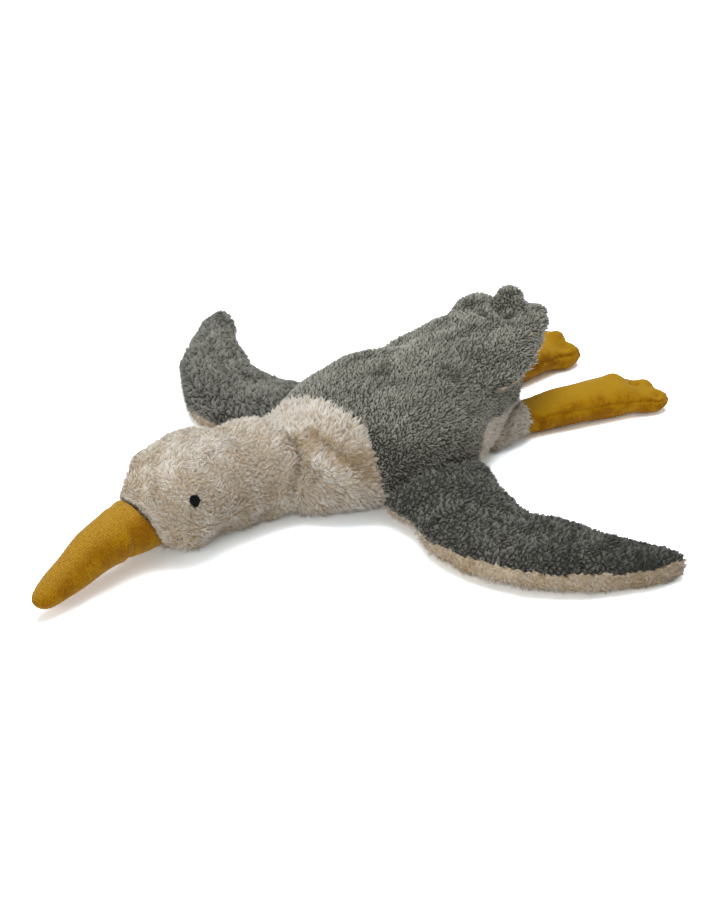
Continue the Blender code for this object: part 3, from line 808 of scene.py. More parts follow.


# Each root colour is darker than its tip colour: painted shade at the foot of the pile.
CREAM_THREADS = thread_dye_and_shade(
    "cream_threads",
    (0.50, 0.38, 0.23, 1), (0.54, 0.445, 0.33, 1), (0.79, 0.72, 0.62, 1), (0.85, 0.81, 0.74, 1),
)
GREY_THREADS = thread_dye_and_shade(
    "grey_threads",
    (0.085, 0.085, 0.066, 1), (0.105, 0.103, 0.082, 1), (0.44, 0.43, 0.365, 1), (0.54, 0.53, 0.455, 1),
)
WING_THREADS = thread_dye_and_shade(
    "wing_threads",
    (0.036, 0.036, 0.028, 1), (0.042, 0.042, 0.034, 1), (0.24, 0.238, 0.202, 1), (0.34, 0.335, 0.288, 1),
)
CREAM_BACKING = backing_dye("cream_backing", (0.42, 0.32, 0.20, 1), (0.58, 0.48, 0.35, 1))
GREY_BACKING = backing_dye("grey_backing", (0.030, 0.030, 0.024, 1), (0.055, 0.055, 0.045, 1))
print("dyes:", [m.name for m in bpy.data.materials if "threads" in m.name])

# %% [markdown]
# ## Which cloth covers what
# The body's skin is cut along its seams into the pieces of cloth that the toy has.
# Each piece carries what its pile needs to know: which way the nap lies, how long
# and how dense the threads are, and the tone of the dye, with painted light and shade in it.


# %% Cut a skin into its cloths
def face_facts(mesh):
    """Middle and normal of each face."""
    return read(mesh.polygons, "center", 3), read(mesh.polygons, "normal", 3)


def cut_out(whole, name, wanted):
    """A new object with the wanted faces of a skin, open along its seams."""
    shape = bmesh.new()
    shape.from_mesh(whole.data)
    shape.faces.ensure_lookup_table()
    unwanted = [shape.faces[k] for k in np.nonzero(~wanted)[0]]
    bmesh.ops.delete(shape, geom=unwanted, context="FACES")
    mesh = bpy.data.meshes.new(name)
    shape.to_mesh(mesh)
    shape.free()
    return placed(name, mesh)


def dressed_in(mesh, material):
    """Give a mesh its one cloth, smoothly shaded."""
    mesh.materials.clear()
    mesh.materials.append(material)
    mesh.shade_smooth()


def close_behind(made, inside, material):
    """Close a cut piece behind its seams with a blind wall, and give it its cloth."""
    shape = bmesh.new()
    shape.from_mesh(made.data)
    rim = [edge for edge in shape.edges if edge.is_boundary]
    if rim:
        middle = shape.verts.new(inside)
        for edge in rim:
            shape.faces.new((edge.verts[0], edge.verts[1], middle))
    bmesh.ops.recalc_face_normals(shape, faces=shape.faces)
    shape.to_mesh(made.data)
    shape.free()
    dressed_in(made.data, material)


def carry(mesh, **values):
    """Store numbers or directions on the points of a mesh."""
    for name, value in values.items():
        kind = "FLOAT_VECTOR" if np.ndim(value) == 2 else "FLOAT"
        made = mesh.attributes.new(name, kind, "POINT")
        key = "vector" if kind == "FLOAT_VECTOR" else "value"
        made.data.foreach_set(key, np.ravel(value).astype(np.float32))


def on_skin(ways, normals):
    """Directions laid flat on the skin."""
    flat = ways - normals * (ways * normals).sum(1, keepdims=True)
    return unit(flat)


def run_tree(made, tree, **settings):
    """Run a tree of nodes on an object, and keep the mesh that comes out."""
    step = made.modifiers.new(tree.name, "NODES")
    step.node_group = tree
    names = {item.name: item.identifier for item in tree.interface.items_tree if item.in_out == "INPUT"}
    for key, value in settings.items():
        step[names[key]] = value
    settle(made)


def grow(skin, name, material, seed, *settings):
    """Grow a pile on a skin, as one plain mesh of its own. The settings are those of GROWTH."""
    made = placed(name, skin.data.copy())
    run_tree(made, PILE, Seed=seed, Material=material, **dict(zip(GROWTH, settings)))
    made.data.name = name
    lay_bake_map(made.data)
    faces = sum(len(face.vertices) - 2 for face in made.data.polygons)
    print(f"{name}: {len(made.data.vertices) // 7} threads, {faces} triangles")
    return made


def lay_bake_map(mesh):
    """A map on which each thread lies at its own tone and height, for baking its dye and painted shade."""
    corner = corners_of(mesh)
    tone, along = (read(mesh.attributes[key].data, "value")[corner] for key in ("tone", "along"))
    side = np.array([0.0, 0.5, 1.0, 0.0, 0.5, 1.0, 0.5])[corner % 7]
    u = 0.02 + 0.92 * np.clip(tone, 0.0, 1.0) + 0.03 * side
    v = 0.02 + 0.96 * np.clip(along, 0.0, 1.0)
    lay_map(mesh, "OFBake", u, v)


print("cutting and growing are ready")

# %% [markdown]
# ## Cloths of the body
# The seam between cream and grey runs round the chest like a collar and then along
# the flanks. The nap of the head lies back from the beak and is ruffled in swirls.
# On the chest it fans out from the neck crease, and on the back it points to the tail.

# %% Part the body's skin
COLLAR_Y = -0.0032
COLLAR_BOW = 0.016
COLLAR_SKEW = 0.10
FLANK_SEAM = ([0.072, 0.082, 0.092, 0.118, 0.140, 0.170], [0.028, 0.046, 0.0465, 0.0385, 0.035, 0.033])
NECK_SEAM_Y = -0.0572
HALF_BODY = 0.079

middles, ways = face_facts(body.data)
across = (middles[:, 0] - BODY_X) / HALF_BODY
collar = COLLAR_Y - COLLAR_BOW * np.minimum(np.abs(across), 1.3) ** 2 + COLLAR_SKEW * (across - 1) * HALF_BODY
is_head = middles[:, 1] < NECK_SEAM_Y
is_tail_under = (ways[:, 2] < -0.25) & (middles[:, 2] > 0.048) & (middles[:, 1] > 0.07)
flank = np.where(across > 0, np.interp(middles[:, 1], *FLANK_SEAM), FLANK_SEAM[1][0])
is_back = (middles[:, 2] > flank) & (middles[:, 1] > collar)
is_back &= ~is_tail_under & ~is_head
is_chest = ~(is_head | is_back | is_tail_under)

head_skin = cut_out(body, "head_neck_cloth", is_head)
chest_skin = cut_out(body, "chest_belly_cloth", is_chest)
back_skin = cut_out(body, "back_cloth", is_back)
tail_skin = cut_out(body, "tail_underside_cloth", is_tail_under)
bpy.data.objects.remove(body, do_unlink=True)
print("faces:", {o.name: len(o.data.polygons) for o in (head_skin, chest_skin, back_skin, tail_skin)})


# %% Comb the body's pile
def parted(nap, places, far, spot, width):
    """The nap, turned away from a line on both its sides."""
    split = bell(far, width)[:, None]
    return nap * (1 - split) + unit(places - spot) * 1.2 * split


def floor_share(places, normals, least=0.3):
    """Fewer threads where the cloth lies on the floor."""
    under = (normals[:, 2] < -0.7) & (places[:, 2] < 0.010)
    return np.where(under, least, 1.0)


EYES = [(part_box(node)[0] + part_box(node)[1]) / 2 for node in ("eye_left", "eye_right")]

places, normals = points_of(head_skin.data), normals_of(head_skin.data)
swirls = 0.9 * noise_vectors(places, 0.016, 11)
nap = np.array([0.0, 1.0, 0.1]) + swirls + 0.8 * noise_vectors(places, 0.007, 12)
to_seat, _ = path_distance(places, BEAK_SEAT)
front = fade(to_seat, 0.0085, 0.0045)[:, None]
nap = nap * (1 - front) + (np.array([0.0, -1.0, 0.0]) + 0.6 * noise_vectors(places, 0.006, 16)) * front
cover = floor_share(places, normals)
tall = 1.0 + 0.12 * smooth_noise(places, 0.02, 13)
tone = 0.50 + 0.14 * smooth_noise(places, 0.028, 14) + 0.18 * smooth_noise(places, 0.007, 15)
# Painted light: the highest pile of the head is painted paler, as the lamp above lights it.
tone += 0.24 * rise(places[:, 2], 0.068, 0.010)
for eye in EYES:
    away = places - np.array(eye)
    far = np.linalg.norm(away, axis=1)
    near = bell(far, 0.010)[:, None]
    nap = nap * (1 - near) + unit(away) * 2.0 * near
    cover = cover * np.clip((far - 0.0030 - 0.0010 * smooth_noise(places, 0.003, 17)) / 0.0010, 0, 1)
    tone += 0.30 * bell(far - 0.0055, 0.0022)
crease, spot = path_distance(places, NECK_CREASE)
nap = parted(nap, places, crease, spot, 0.010)
# Painted shade: the pile is darkened in the neck crease, and below in the parting and small folds of the head.
tone -= 0.60 * bell(crease, 0.0045)
for fold in (HEAD_PARTING, BROW_FOLD, NECK_CURL):
    far, _ = path_distance(places, fold)
    tone -= 0.34 * bell(far, 0.0024)
tall = tall + (0.55 + 0.35 * smooth_noise(places, 0.003, 18)) * front[:, 0]
# Painted light: the pile round the beak seat is painted paler against the shade of the seat's groove.
tone += 0.15 * front[:, 0]
carry(head_skin.data, lay=on_skin(nap, normals) * (1 + 2.0 * front), cover=cover, tall=tall, tone=tone)

places, normals = points_of(chest_skin.data), normals_of(chest_skin.data)
fan = unit(places - np.array([0.033, -0.061, 0.035]))
nap = fan + np.array([0.0, 0.5, 0.0]) + 0.35 * noise_vectors(places, 0.014, 21)
crease, spot = path_distance(places, NECK_CREASE)
nap = parted(nap, places, crease, spot, 0.012)
valley, _ = path_distance(places, CHEST_VALLEY)
hidden = (places[:, 1] > 0.03) & (normals[:, 2] < -0.5)
cover = floor_share(places, normals) * np.where(hidden, 0.6, 1.0)
collar_near = rise(places[:, 1], -0.030, 0.012) * rise(places[:, 2], 0.03, 0.01)
tall = 1.0 + 0.12 * smooth_noise(places, 0.02, 23) + 0.10 * collar_near
roll, _ = path_distance(places, CHEST_ROLL)
tone = 0.58 + 0.10 * smooth_noise(places, 0.025, 24) + 0.14 * smooth_noise(places, 0.007, 25)
# Painted light: the higher chest is painted paler as the lamp above lights it, and the crest of the roll gets a
# painted highlight.
tone += 0.22 * rise(places[:, 2], 0.060, 0.010) + 0.50 * bell(roll, 0.0075)
# Painted shade: the pile is darkened in the neck crease and along the chest valley.
tone -= 0.70 * bell(crease, 0.0050)
tone -= (0.75 + 0.25 * smooth_noise(places, 0.005, 26)) * bell(valley, 0.0065)
carry(chest_skin.data, lay=on_skin(nap, normals), cover=cover, tall=tall, tone=tone)

places, normals = points_of(back_skin.data), normals_of(back_skin.data)
nap = np.array([0.1, 1.0, 0.0]) + 0.6 * noise_vectors(places, 0.013, 31)
cover = floor_share(places, normals)
tall = 1.0 + 0.15 * smooth_noise(places, 0.015, 33)
streaks = smooth_noise(places * np.array([1, 0.35, 1]), 0.006, 35)
tone = 0.52 + 0.08 * smooth_noise(places, 0.04, 34) + 0.10 * streaks
# Painted shade: the back is darker on its near side next to the wing, where less light falls.
near_side_shade = rise(places[:, 0], 0.045, 0.03) * fade(places[:, 1], 0.10, 0.04)
tone -= 0.12 * near_side_shade
# Painted shade in the folds of the tail, where the threads are also shorter and parted.
for fold in TAIL_FOLDS:
    far, spot = path_distance(places, fold)
    at_fold = bell(far, 0.0035)
    tone -= 0.45 * at_fold
    tall -= 0.30 * at_fold
    nap = parted(nap, places, far, spot, 0.008)
carry(back_skin.data, lay=on_skin(nap, normals), cover=cover, tall=tall, tone=tone)

places, normals = points_of(tail_skin.data), normals_of(tail_skin.data)
nap = np.array([0.3, 1.0, 0.0]) + 0.3 * noise_vectors(places, 0.013, 41)
tone = 0.45 + 0.1 * smooth_noise(places, 0.02, 42)
ones = np.ones(len(places))
carry(tail_skin.data, lay=on_skin(nap, normals), cover=ones, tall=ones * 0.8, tone=tone)
print("combed")

# %% Grow the body's pile
# The twelve numbers of each pile stand in the order of GROWTH, lengths in metres.
head_pile = grow(
    head_skin, "head_neck_pile", CREAM_THREADS, 101,
    0.00085, 0.0029, 0.00085, 0.80, 0.40, 0.40, 1.2, 0.0025, 0.75, 0.32, 0.20, 0.07,
)
chest_pile = grow(
    chest_skin, "chest_belly_pile", CREAM_THREADS, 102,
    0.00085, 0.0040, 0.00080, 0.75, 0.55, 0.32, 0.8, 0.0027, 0.80, 0.30, 0.15, 0.08,
)
back_pile = grow(
    back_skin, "back_pile", GREY_THREADS, 103,
    0.00098, 0.0027, 0.00095, 1.00, 0.14, 0.25, 0.9, 0.0019, 0.62, 0.28, 0.14, 0.15,
)
tail_pile = grow(
    tail_skin, "tail_underside_pile", CREAM_THREADS, 104,
    0.0020, 0.0050, 0.0013, 0.6, 0.6, 0.3, 0.5, 0.0040, 0.4, 0.30, 0.2, 0.10,
)
inside_trunk = (-0.005, 0.06, 0.04)
close_behind(head_skin, (-0.018, -0.10, 0.04), CREAM_BACKING)
close_behind(chest_skin, inside_trunk, CREAM_BACKING)
close_behind(back_skin, inside_trunk, GREY_BACKING)
close_behind(tail_skin, (-0.02, 0.15, 0.068), CREAM_BACKING)

# %% [markdown]
# ## Cloths of the wings and thighs
# The wings' grey pile is the most curly and matted. The cream cloth of the underside
# comes up round the rim as a pale band.


# %% Part, comb and grow the wings
RIM_SEAM = {
    1: ([0.07, 0.11, 0.20, 0.245, 0.27], [0.0165, 0.0175, 0.0200, 0.0185, 0.0150]),
    -1: ([0.07, 0.11, 0.15, 0.19, 0.27], [0.0165, 0.0150, 0.0120, 0.0095, 0.0090]),
}


def dressed_wing(side, word, seed):
    """Skins and piles of one wing."""
    wing = wings[word]
    middles, _ = face_facts(wing.data)
    out = side * middles[:, 0]
    at_front = middles[:, 1] < np.interp(out, [0.07, 0.18, 0.27], [0.03, 0.04, 0.10])
    upper = middles[:, 2] > np.where(at_front, np.interp(out, *RIM_SEAM[side]), 0.0150)
    made = {}
    for name, wanted, backing in (
        (f"wing_top_{word}", upper, GREY_BACKING), (f"wing_underside_{word}", ~upper, CREAM_BACKING)
    ):
        skin = cut_out(wing, f"{name}_cloth", wanted)
        places, normals = points_of(skin.data), normals_of(skin.data)
        nap = np.array([0.5 * side, 0.6, 0.0]) + 1.1 * noise_vectors(places, 0.012, seed)
        in_body = rise(side * (places[:, 0] - BODY_X), 0.058, 0.004)
        cover = floor_share(places, normals, 0.25) * in_body
        rim = np.clip(1.0 - np.abs(places[:, 2] - 0.0170) / 0.006, 0, 1) * fade(places[:, 1], 0.04, 0.02)
        tall = 1.0 + 0.12 * smooth_noise(places, 0.010, seed + 1)
        tone = 0.45 + 0.12 * smooth_noise(places, 0.03, seed + 2) + 0.12 * smooth_noise(places, 0.006, seed + 3)
        if wanted is upper:
            # Painted light and shade: the near wing's top is painted darker and the far wing's paler, more so
            # toward their tips, as the light falls off toward the near side.
            tone += 0.07 - side * 0.15 - side * 0.12 * rise(side * places[:, 0], 0.19, 0.05)
            hang = normals * np.array([1.0, 1.0, 0.0]) + np.array([0.0, 0.0, -1.2])
            nap = nap * (1 - rim[:, None]) + hang * 2.0 * rim[:, None]
        else:
            tall = tall - 0.40 * rim
            tone -= 0.16
        carry(skin.data, lay=on_skin(nap, normals), cover=cover, tall=tall, tone=tone)
        if wanted is upper:
            pile = grow(
                skin, f"{name}_pile", WING_THREADS, seed,
                0.00090, 0.0029, 0.00098, 0.95, 0.15, 0.40, 1.6, 0.0026, 0.85, 0.30, 0.12, 0.12,
            )
        else:
            pile = grow(
                skin, f"{name}_pile", CREAM_THREADS, seed,
                0.00100, 0.0034, 0.00092, 0.85, 0.20, 0.40, 1.4, 0.0027, 0.8, 0.32, 0.18, 0.08,
            )
        close_behind(skin, (side * 0.16, 0.03, 0.016), backing)
        made[name] = (skin, pile)
    bpy.data.objects.remove(wing, do_unlink=True)
    return made


dressed = {**dressed_wing(1, "left", 201), **dressed_wing(-1, "right", 301)}

# %% Comb and grow the thighs
for number_of, (word, thigh) in enumerate(thighs.items()):
    skin = cut_out(thigh, f"cuff_{word}_cloth", np.ones(len(thigh.data.polygons), bool))
    bpy.data.objects.remove(thigh, do_unlink=True)
    places, normals = points_of(skin.data), normals_of(skin.data)
    nap = np.array([0.2, 1.0, 0.0]) + 0.5 * noise_vectors(places, 0.012, 51)
    tone = 0.76 + 0.12 * smooth_noise(places, 0.015, 52)
    ones = np.ones(len(places))
    carry(skin.data, lay=on_skin(nap, normals), cover=floor_share(places, normals), tall=ones, tone=tone)
    pile = grow(
        skin, f"cuff_{word}_pile", CREAM_THREADS, 401 + number_of,
        0.00090, 0.0056, 0.00085, 0.6, 0.7, 0.3, 0.6, 0.0024, 0.5, 0.30, 0.2, 0.10,
    )
    close_behind(skin, (0, 0, 0), CREAM_BACKING)
    dressed[f"cuff_{word}"] = (skin, pile)

dressed["head_neck"] = (head_skin, head_pile)
dressed["chest_belly"] = (chest_skin, chest_pile)
dressed["back"] = (back_skin, back_pile)
dressed["tail_underside"] = (tail_skin, tail_pile)

# %% Hand the plush over to the model
for node, (skin, pile) in dressed.items():
    for piece in (skin, pile):
        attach(piece, "root")
    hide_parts(node)
print("plush pieces:", 2 * len(dressed))

# %% [markdown]
# ## Velour
# Velour is knitted cloth with a short upright nap. On the beak a fine cross grain
# shows through it, and on the legs only soft marks where the nap was brushed. The
# grain follows the piece, so it is drawn on a map wrapped round the piece, measured
# in metres along and around.


# %% The velour dye
def velour_grain_group():
    """Threads that cross at right angles, a little uneven."""
    group = bpy.data.node_groups.new("velour_grain", "ShaderNodeTree")
    socket(group, "Place", "Vector")
    socket(group, "Fineness", "Float", 330.0)
    socket(group, "Unevenness", "Float", 1.5)
    socket(group, "Grain", "Float", way="OUTPUT")
    given = group.nodes.new("NodeGroupInput").outputs
    bands = []
    inputs = {
        "Vector": given["Place"], "Scale": given["Fineness"], "Distortion": given["Unevenness"],
        "Detail": 2.0, "Detail Scale": 1.2,
    }
    for way in ("X", "Y"):
        bands.append(joined(group, "ShaderNodeTexWave", inputs, bands_direction=way).outputs["Fac"])
    crossing = number(group, "MULTIPLY", bands[0], bands[1])
    plain = number(group, "MAXIMUM", bands[0], bands[1])
    halves = [number(group, "MULTIPLY", part, 0.5) for part in (crossing, plain)]
    joined(group, "NodeGroupOutput", {0: number(group, "ADD", *halves)})
    return group


GRAIN = velour_grain_group()
FLECK = (0.54, 0.29, 0.02, 1)
BETWEEN_THREADS = (0.17, 0.068, 0.001, 1)


def velour_dye(name, low, high, top, grain_share, grain_depth, patch_size):
    """Mustard velour, with more or less of the cross grain, and a painted sheen toward the top colour on faces
    that look up.
    """
    made, tree, cloth = new_material(
        name, Roughness=0.75, Specular_IOR_Level=0.05, Sheen_Weight=0.40, Sheen_Roughness=0.35,
        Sheen_Tint=(1.0, 0.80, 0.40, 1.0),
    )
    wrap = joined(tree, "ShaderNodeUVMap", {}, uv_map="wrap").outputs[0]
    grain = grouped(tree, GRAIN, Place=wrap, Fineness=180.0, Unevenness=5.0)
    patches = cloud(tree, 1.0 / patch_size, 3.0, Roughness=0.6)
    fuzz = cloud(tree, 900.0)
    flecks = cloud(tree, 620.0)
    brushed = blend(tree, between(tree, patches, 0.36, 0.64), low, high)
    bright = number(tree, "MULTIPLY", between(tree, flecks, 0.45, 0.75), 0.25)
    flecked = blend(tree, bright, brushed, FLECK)
    # Painted sheen: faces that look up are painted paler, toward the top colour, as the lamp above lights them.
    facing = joined(tree, "ShaderNodeNewGeometry", {}).outputs["Normal"]
    upward = joined(tree, "ShaderNodeSeparateXYZ", {0: facing}).outputs["Z"]
    with_painted_sheen = blend(tree, between(tree, upward, 0.50, 1.05), flecked, top)
    root_shade_and_grain = number(tree, "MAXIMUM", between(tree, grain, 0.75, 0.15), between(tree, flecks, 0.52, 0.36))
    woven = number(tree, "MULTIPLY", root_shade_and_grain, grain_share)
    tree.links.new(blend(tree, woven, with_painted_sheen, BETWEEN_THREADS), cloth.inputs["Base Color"])
    nap, knit = number(tree, "MULTIPLY", fuzz, 0.35), number(tree, "MULTIPLY", grain, grain_depth)
    raised(tree, cloth, number(tree, "ADD", knit, nap), 0.55, 0.0005)
    return made


# The third colour of each velour is the painted sheen on its upper faces.
BEAK_VELOUR = velour_dye(
    "beak_velour", (0.32, 0.130, 0.0006, 1), (0.46, 0.230, 0.003, 1), (0.54, 0.310, 0.034, 1), 0.55, 1.2, 0.018
)
LEG_VELOUR = velour_dye(
    "leg_velour", (0.29, 0.115, 0.0006, 1), (0.45, 0.225, 0.004, 1), (0.42, 0.235, 0.012, 1), 0.10, 0.25, 0.012
)
SEAM_THREAD = backing_dye("seam_thread", (0.20, 0.085, 0.003, 1), (0.32, 0.15, 0.006, 1))
print("velour is dyed")


# %% Wrap a map round a long piece
def wrap_map(mesh, start, end):
    """A map in metres: around the piece and along it."""
    places = points_of(mesh).astype(float)
    start, end = np.array(start, float), np.array(end, float)
    way = unit(end - start)
    along = (places - start) @ way
    steps = np.linspace(along.min(), along.max(), 24)
    centres = []
    for a, b in zip(steps, steps[1:]):
        part = places[(along >= a) & (along <= b)]
        centres.append((part.min(0) + part.max(0)) / 2)
    centres = np.array(centres)
    mids = (steps[1:] + steps[:-1]) / 2
    line = np.stack([np.interp(along, mids, centres[:, k]) for k in range(3)], axis=1)
    off = places - line
    sideways = unit(np.cross(way, [0.0, 0.0, 1.0]))
    turns = np.arctan2(off[:, 2], off @ sideways) / (2 * math.pi)
    girth = 2 * math.pi * float(np.median(np.linalg.norm(off, axis=1)))
    corner = corners_of(mesh)
    first = read(mesh.polygons, "loop_start", 1, np.int32)
    count = read(mesh.polygons, "loop_total", 1, np.int32)
    lead = np.repeat(turns[corner[first]], count)
    u = turns[corner]
    u = u - np.round(u - lead)
    lay_map(mesh, "wrap", u * girth, along[corner])
    print(mesh.name, "girth in mm:", round(1000 * girth))


def finer(made):
    """Split every face in four on a smooth surface."""
    step = made.modifiers.new("finer", "SUBSURF")
    step.levels = 1
    step.render_levels = 1
    return settle(made)


# %% [markdown]
# ## Beak
# A hooked horn of velour with a stuffed round back. Its cloth wrinkles in an arc
# where it is sewn to the face, and the pile of the face hangs over that seam.

# %% Stuff the beak
beak = fused_copy("beak_velour", ["beak"])
even_skin(beak, 0.0028)
drawn_in(beak, 0.0004, 2)
stuff(beak, 2.5, 0.0008)
finer(beak)
places = points_of(beak.data)
normals = normals_of(beak.data)
base = rise(places[:, 1], -0.1875, 0.014)
places[:, 1] += 0.0075 * base
behind_tip = places[:, 1] + 0.2864
arc = behind_tip - 0.089 + 0.10 * np.abs(places[:, 0] + 0.007) - 0.12 * (places[:, 2] - 0.04)
wrinkle = bell(arc, 0.0028) - 0.45 * bell(arc + 0.0062, 0.0034)
low_side = np.clip((0.055 - places[:, 2]) / 0.02, 0.15, 1)
base_puff = bell(places[:, 1] + 0.184, 0.008)
at_tip = fade(places[:, 1], -0.240, 0.04)
places[:, 1] -= 0.0042 * at_tip
places[:, 0] += 0.0020 * at_tip
depth = -0.0011 * wrinkle * low_side + 0.0005 * smooth_noise(places, 0.016, 91) + 0.0006 * base_puff
places = places + normals * depth[:, None]
put(beak, places)
wrap_map(beak.data, (-0.008, -0.182, 0.031), (0.011, -0.285, 0.012))
dressed_in(beak.data, BEAK_VELOUR)
print("beak faces:", len(beak.data.polygons))

# %% [markdown]
# ## Legs
# Each leg is sewn from an upper and a lower cloth. The seams run along both sides,
# pucker round the toes, and the cloth is creased where it leaves the furry thigh.

# %% Stuff the legs
HIPS = {"left": ((0.0213, 0.1631), math.radians(14.0)), "right": ((-0.0347, 0.1571), math.radians(-8.5))}
SEAM_ALONG = [0.0, 0.02, 0.06, 0.08, 0.10, 0.12]
SEAM_UP = [0.0160, 0.0180, 0.0163, 0.0156, 0.0138, 0.0110]

# Where a toe rises or a dent lies (x, y and the height from which it counts), by how much, how wide.
TOES = {
    "left": (
        ((0.0340, 0.2520, 0.022), 0.0035, 0.0085), ((0.0460, 0.2605, 0.018), -0.0045, 0.0045),
        ((0.0490, 0.2690, 0.015), 0.0046, 0.0100), ((0.0665, 0.2670, 0.016), -0.0030, 0.0038),
        ((0.0300, 0.1800, 0.026), -0.0022, 0.0180),
    ),
    "right": (
        ((-0.0520, 0.2690, 0.016), 0.0078, 0.0120), ((-0.0380, 0.2660, 0.016), -0.0030, 0.0050),
    ),
}


def leg_places(word, places):
    """Along the leg and across it, for each point."""
    hip, splay = HIPS[word]
    way = np.array([math.sin(splay), math.cos(splay)])
    over = np.array([math.cos(splay), -math.sin(splay)])
    off = places[:, :2] - np.array(hip)
    return off @ way, off @ over


def seam_height(along):
    """Height of the side seams over the floor."""
    return np.interp(along, SEAM_ALONG, SEAM_UP)


def stuffed_leg(word):
    """The velour of one leg."""
    leg = fused_copy(f"leg_{word}_velour", [f"leg_{word}"])
    even_skin(leg, 0.0026)
    drawn_in(leg, 0.0004, 2)
    stuff(leg, 2.5, 0.0008)
    finer(leg)
    places = points_of(leg.data)
    normals = normals_of(leg.data)
    along, across = leg_places(word, places)
    from_seam = places[:, 2] - seam_height(along)
    on_side = np.clip((np.abs(normals[:, 2]) * -1 + 0.85) / 0.3, 0, 1)
    groove = bell(from_seam, 0.0012) * on_side
    ripple = np.sin(2 * math.pi * along / 0.0042 + 3 * smooth_noise(places, 0.01, 95))
    pucker = ripple * bell(from_seam, 0.0035) * rise(along, 0.06, 0.03) * on_side
    creases = np.sin(2 * math.pi * along / 0.0095 + 2.5 * smooth_noise(places, 0.012, 96))
    creased = creases * bell(along - 0.012, 0.014) * np.clip((0.024 - places[:, 2]) / 0.01, 0.2, 1)
    depth = -0.0010 * groove + 0.0005 * pucker + 0.0006 * creased + 0.0005 * smooth_noise(places, 0.015, 97)
    places = places + normals * depth[:, None]
    if word == "right":
        near_side = rise(across, -0.004, 0.018)
        places[:, 0] -= np.interp(along, [0.03, 0.095, 0.12], [0.0050, 0.0030, 0.0]) * near_side
    for (x, y, z), lift, width in TOES[word]:
        far = np.linalg.norm(places[:, :2] - np.array([x, y]), axis=1)
        share = bell(far, width) * np.clip(places[:, 2] / z, 0, 1)
        places[:, 2] += lift * share
    put(leg, places)
    (x, y), splay = HIPS[word]
    wrap_map(leg.data, (x, y, 0.013), (x + 0.1 * math.sin(splay), y + 0.1 * math.cos(splay), 0.013))
    dressed_in(leg.data, LEG_VELOUR)
    return leg


legs = {word: stuffed_leg(word) for word in ("left", "right")}
print("leg faces:", {word: len(leg.data.polygons) for word, leg in legs.items()})

# %% [markdown]
# ## Stitches
# A stitch is a short thread that dips into the cloth at both ends. One tree places
# them at marked points: along the leg seams, and side by side for the black eyes,
# which are embroidered with satin stitch on a small pad.


# %% The stitch tree
def stitch_tree():
    """Stitches at the points of a mesh, each with its direction and length."""
    tree = bpy.data.node_groups.new("stitches", "GeometryNodeTree")
    socket(tree, "Marks", "Geometry")
    socket(tree, "Thickness", "Float", 0.0006)
    socket(tree, "Dip", "Float", 0.5)
    socket(tree, "Unevenness", "Float", 0.1)
    socket(tree, "Seed", "Int", 1)
    socket(tree, "Material", "Material")
    socket(tree, "Stitches", "Geometry", way="OUTPUT")
    given = tree.nodes.new("NodeGroupInput").outputs
    bead = joined(tree, "GeometryNodeMeshUVSphere", {"Segments": 8, "Rings": 6, "Radius": 0.5})
    lying = {"Geometry": bead.outputs["Mesh"], "Rotation": (0.0, math.pi / 2, 0.0)}
    turned = joined(tree, "GeometryNodeTransform", lying).outputs[0]
    place = joined(tree, "GeometryNodeInputPosition", {}).outputs[0]
    reach = joined(tree, "ShaderNodeSeparateXYZ", {0: place}).outputs["X"]
    deep = number(tree, "MULTIPLY", given["Dip"], -4.0)
    dip = number(tree, "MULTIPLY", number(tree, "MULTIPLY", reach, reach), deep)
    down = joined(tree, "ShaderNodeCombineXYZ", {0: 0.0, 1: 0.0, 2: dip}).outputs[0]
    bent = joined(tree, "GeometryNodeSetPosition", {"Geometry": turned, "Offset": down}).outputs[0]
    smooth = joined(tree, "GeometryNodeSetShadeSmooth", {"Geometry": bent}).outputs[0]
    stray = scaled(tree, chance(tree, (-1, -1, -1), (1, 1, 1), given["Seed"], True), given["Unevenness"])
    way = vector(tree, "ADD", kept(tree, "way", "FLOAT_VECTOR"), stray)
    turn = turned_to(tree, way, "X", kept(tree, "out", "FLOAT_VECTOR"), "Z")
    long, thick = kept(tree, "reach", "FLOAT"), given["Thickness"]
    size = joined(tree, "ShaderNodeCombineXYZ", {0: long, 1: thick, 2: thick}).outputs[0]
    real = set_out(tree, given["Marks"], smooth, turn, size)
    put_out(tree, real, given["Material"])
    return tree


STITCHES = stitch_tree()


def stitched(name, marks, ways, outs, reaches, material, thickness, dip, unevenness):
    """One mesh of stitches at the given marks."""
    mesh = bpy.data.meshes.new(name)
    mesh.from_pydata([tuple(map(float, mark)) for mark in marks], [], [])
    carry(mesh, way=np.asarray(ways, float), out=np.asarray(outs, float), reach=np.asarray(reaches, float))
    made = placed(name, mesh)
    run_tree(made, STITCHES, Thickness=thickness, Dip=dip, Unevenness=unevenness, Material=material)
    print(name, "stitches:", len(marks))
    return made


# %% Sew the leg seams
def leg_stitches(word):
    """Stitches in both side seams of one leg."""
    mesh = legs[word].data
    places, normals = points_of(mesh), normals_of(mesh)
    along, across = leg_places(word, places)
    off = np.abs(places[:, 2] - seam_height(along))
    marks, outs = [], []
    for side in (-1.0, 1.0):
        for step in np.arange(0.008, 0.112, 0.0027):
            cost = np.abs(along - step) + 1.5 * off + np.where(side * across < 0.003, 1.0, 0.0)
            best = int(np.argmin(cost))
            marks.append(places[best] - normals[best] * 0.0001)
            outs.append(normals[best])
    marks = np.array(marks)
    ways = np.roll(marks, -1, axis=0) - marks
    ways[len(marks) // 2 - 1] = ways[len(marks) // 2 - 2]
    ways[-1] = ways[-2]
    reaches = np.full(len(marks), 0.0022)
    return stitched(f"leg_{word}_stitches", marks, unit(ways), outs, reaches, SEAM_THREAD, 0.0005, 0.45, 0.15)


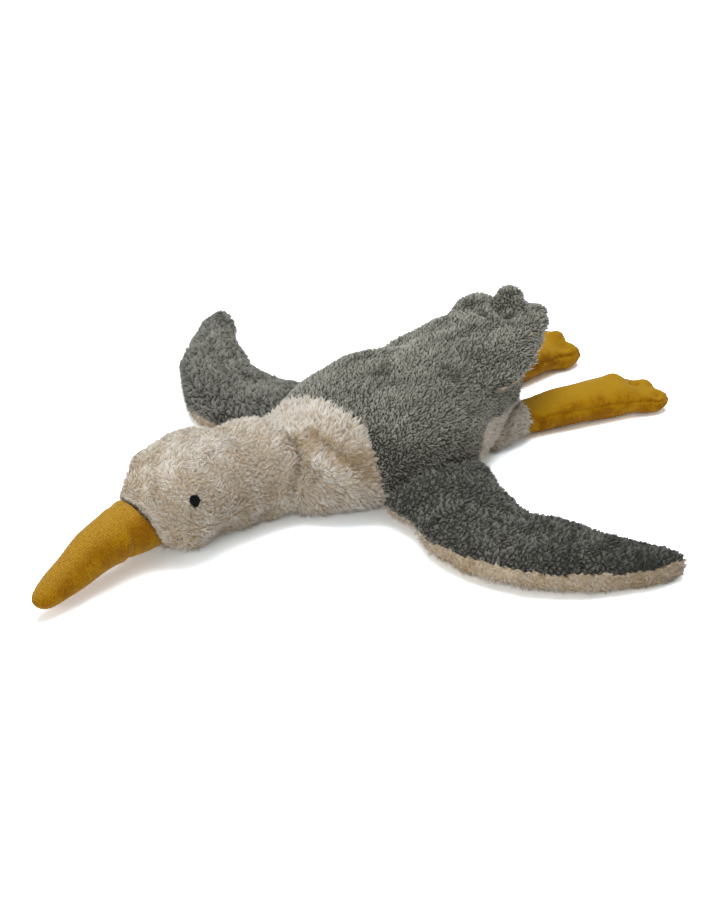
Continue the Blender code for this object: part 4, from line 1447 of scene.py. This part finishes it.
seams = {word: leg_stitches(word) for word in ("left", "right")}

# %% Hand the velour over to the model
for node, piece in (("beak", beak), ("leg_left", legs["left"]), ("leg_right", legs["right"])):
    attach(piece, "root")
    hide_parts(node)
for piece in seams.values():
    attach(piece, "root")

# %% [markdown]
# ## Eyes
# Two layers of black thread in satin stitch over a small pad, one across the other.
# The outline is uneven, as it is worked by hand.

# %% Embroider the eyes
BLACK_THREAD, tree, cloth = new_material("black_eye_thread", Roughness=0.7, Specular_IOR_Level=0.05)
ply = cloud(tree, 1500.0)
black = blend(tree, ply, (0.001, 0.001, 0.001, 1), (0.004, 0.004, 0.005, 1))
tree.links.new(black, cloth.inputs["Base Color"])
raised(tree, cloth, ply, 0.4, 0.0002)


def embroidered_eye(word, side):
    """Satin stitches in two layers, bulging as over a small pad."""
    low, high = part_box(f"eye_{word}")
    middle = np.array((low + high) / 2)
    facing_up = math.radians(23.0)
    out = np.array([side * math.cos(facing_up), 0.0, math.sin(facing_up)])
    middle = middle - out * (0.0018 if side > 0 else 0.0036)
    upward = unit(np.array([0.15, 0.0, 1.0]) - out * (0.15 * out[0] + out[2]))
    forward = np.cross(upward, out)
    marks, ways, outs, reaches = [], [], [], []
    uneven = np.random.default_rng(7)
    for lift, tilt in ((0.0, 0.15), (0.0004, 1.20)):
        across = math.cos(tilt) * forward + math.sin(tilt) * upward
        up = -math.sin(tilt) * forward + math.cos(tilt) * upward
        for k in range(-6, 7):
            part = k / 6.5
            reach = 0.0094 * math.sqrt(1 - part**2) * uneven.uniform(0.72, 1.26)
            bulge = 0.0016 * (1 - part**2) + lift
            marks.append(middle + up * part * 0.0043 + out * bulge + across * uneven.uniform(-0.0005, 0.0005))
            ways.append(across)
            outs.append(out)
            reaches.append(reach)
    return stitched(f"eye_{word}_thread", marks, ways, outs, reaches, BLACK_THREAD, 0.0011, 1.2, 0.08)


for word, side in (("left", 1), ("right", -1)):
    eye = embroidered_eye(word, side)
    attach(eye, "root")
    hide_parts(f"eye_{word}")
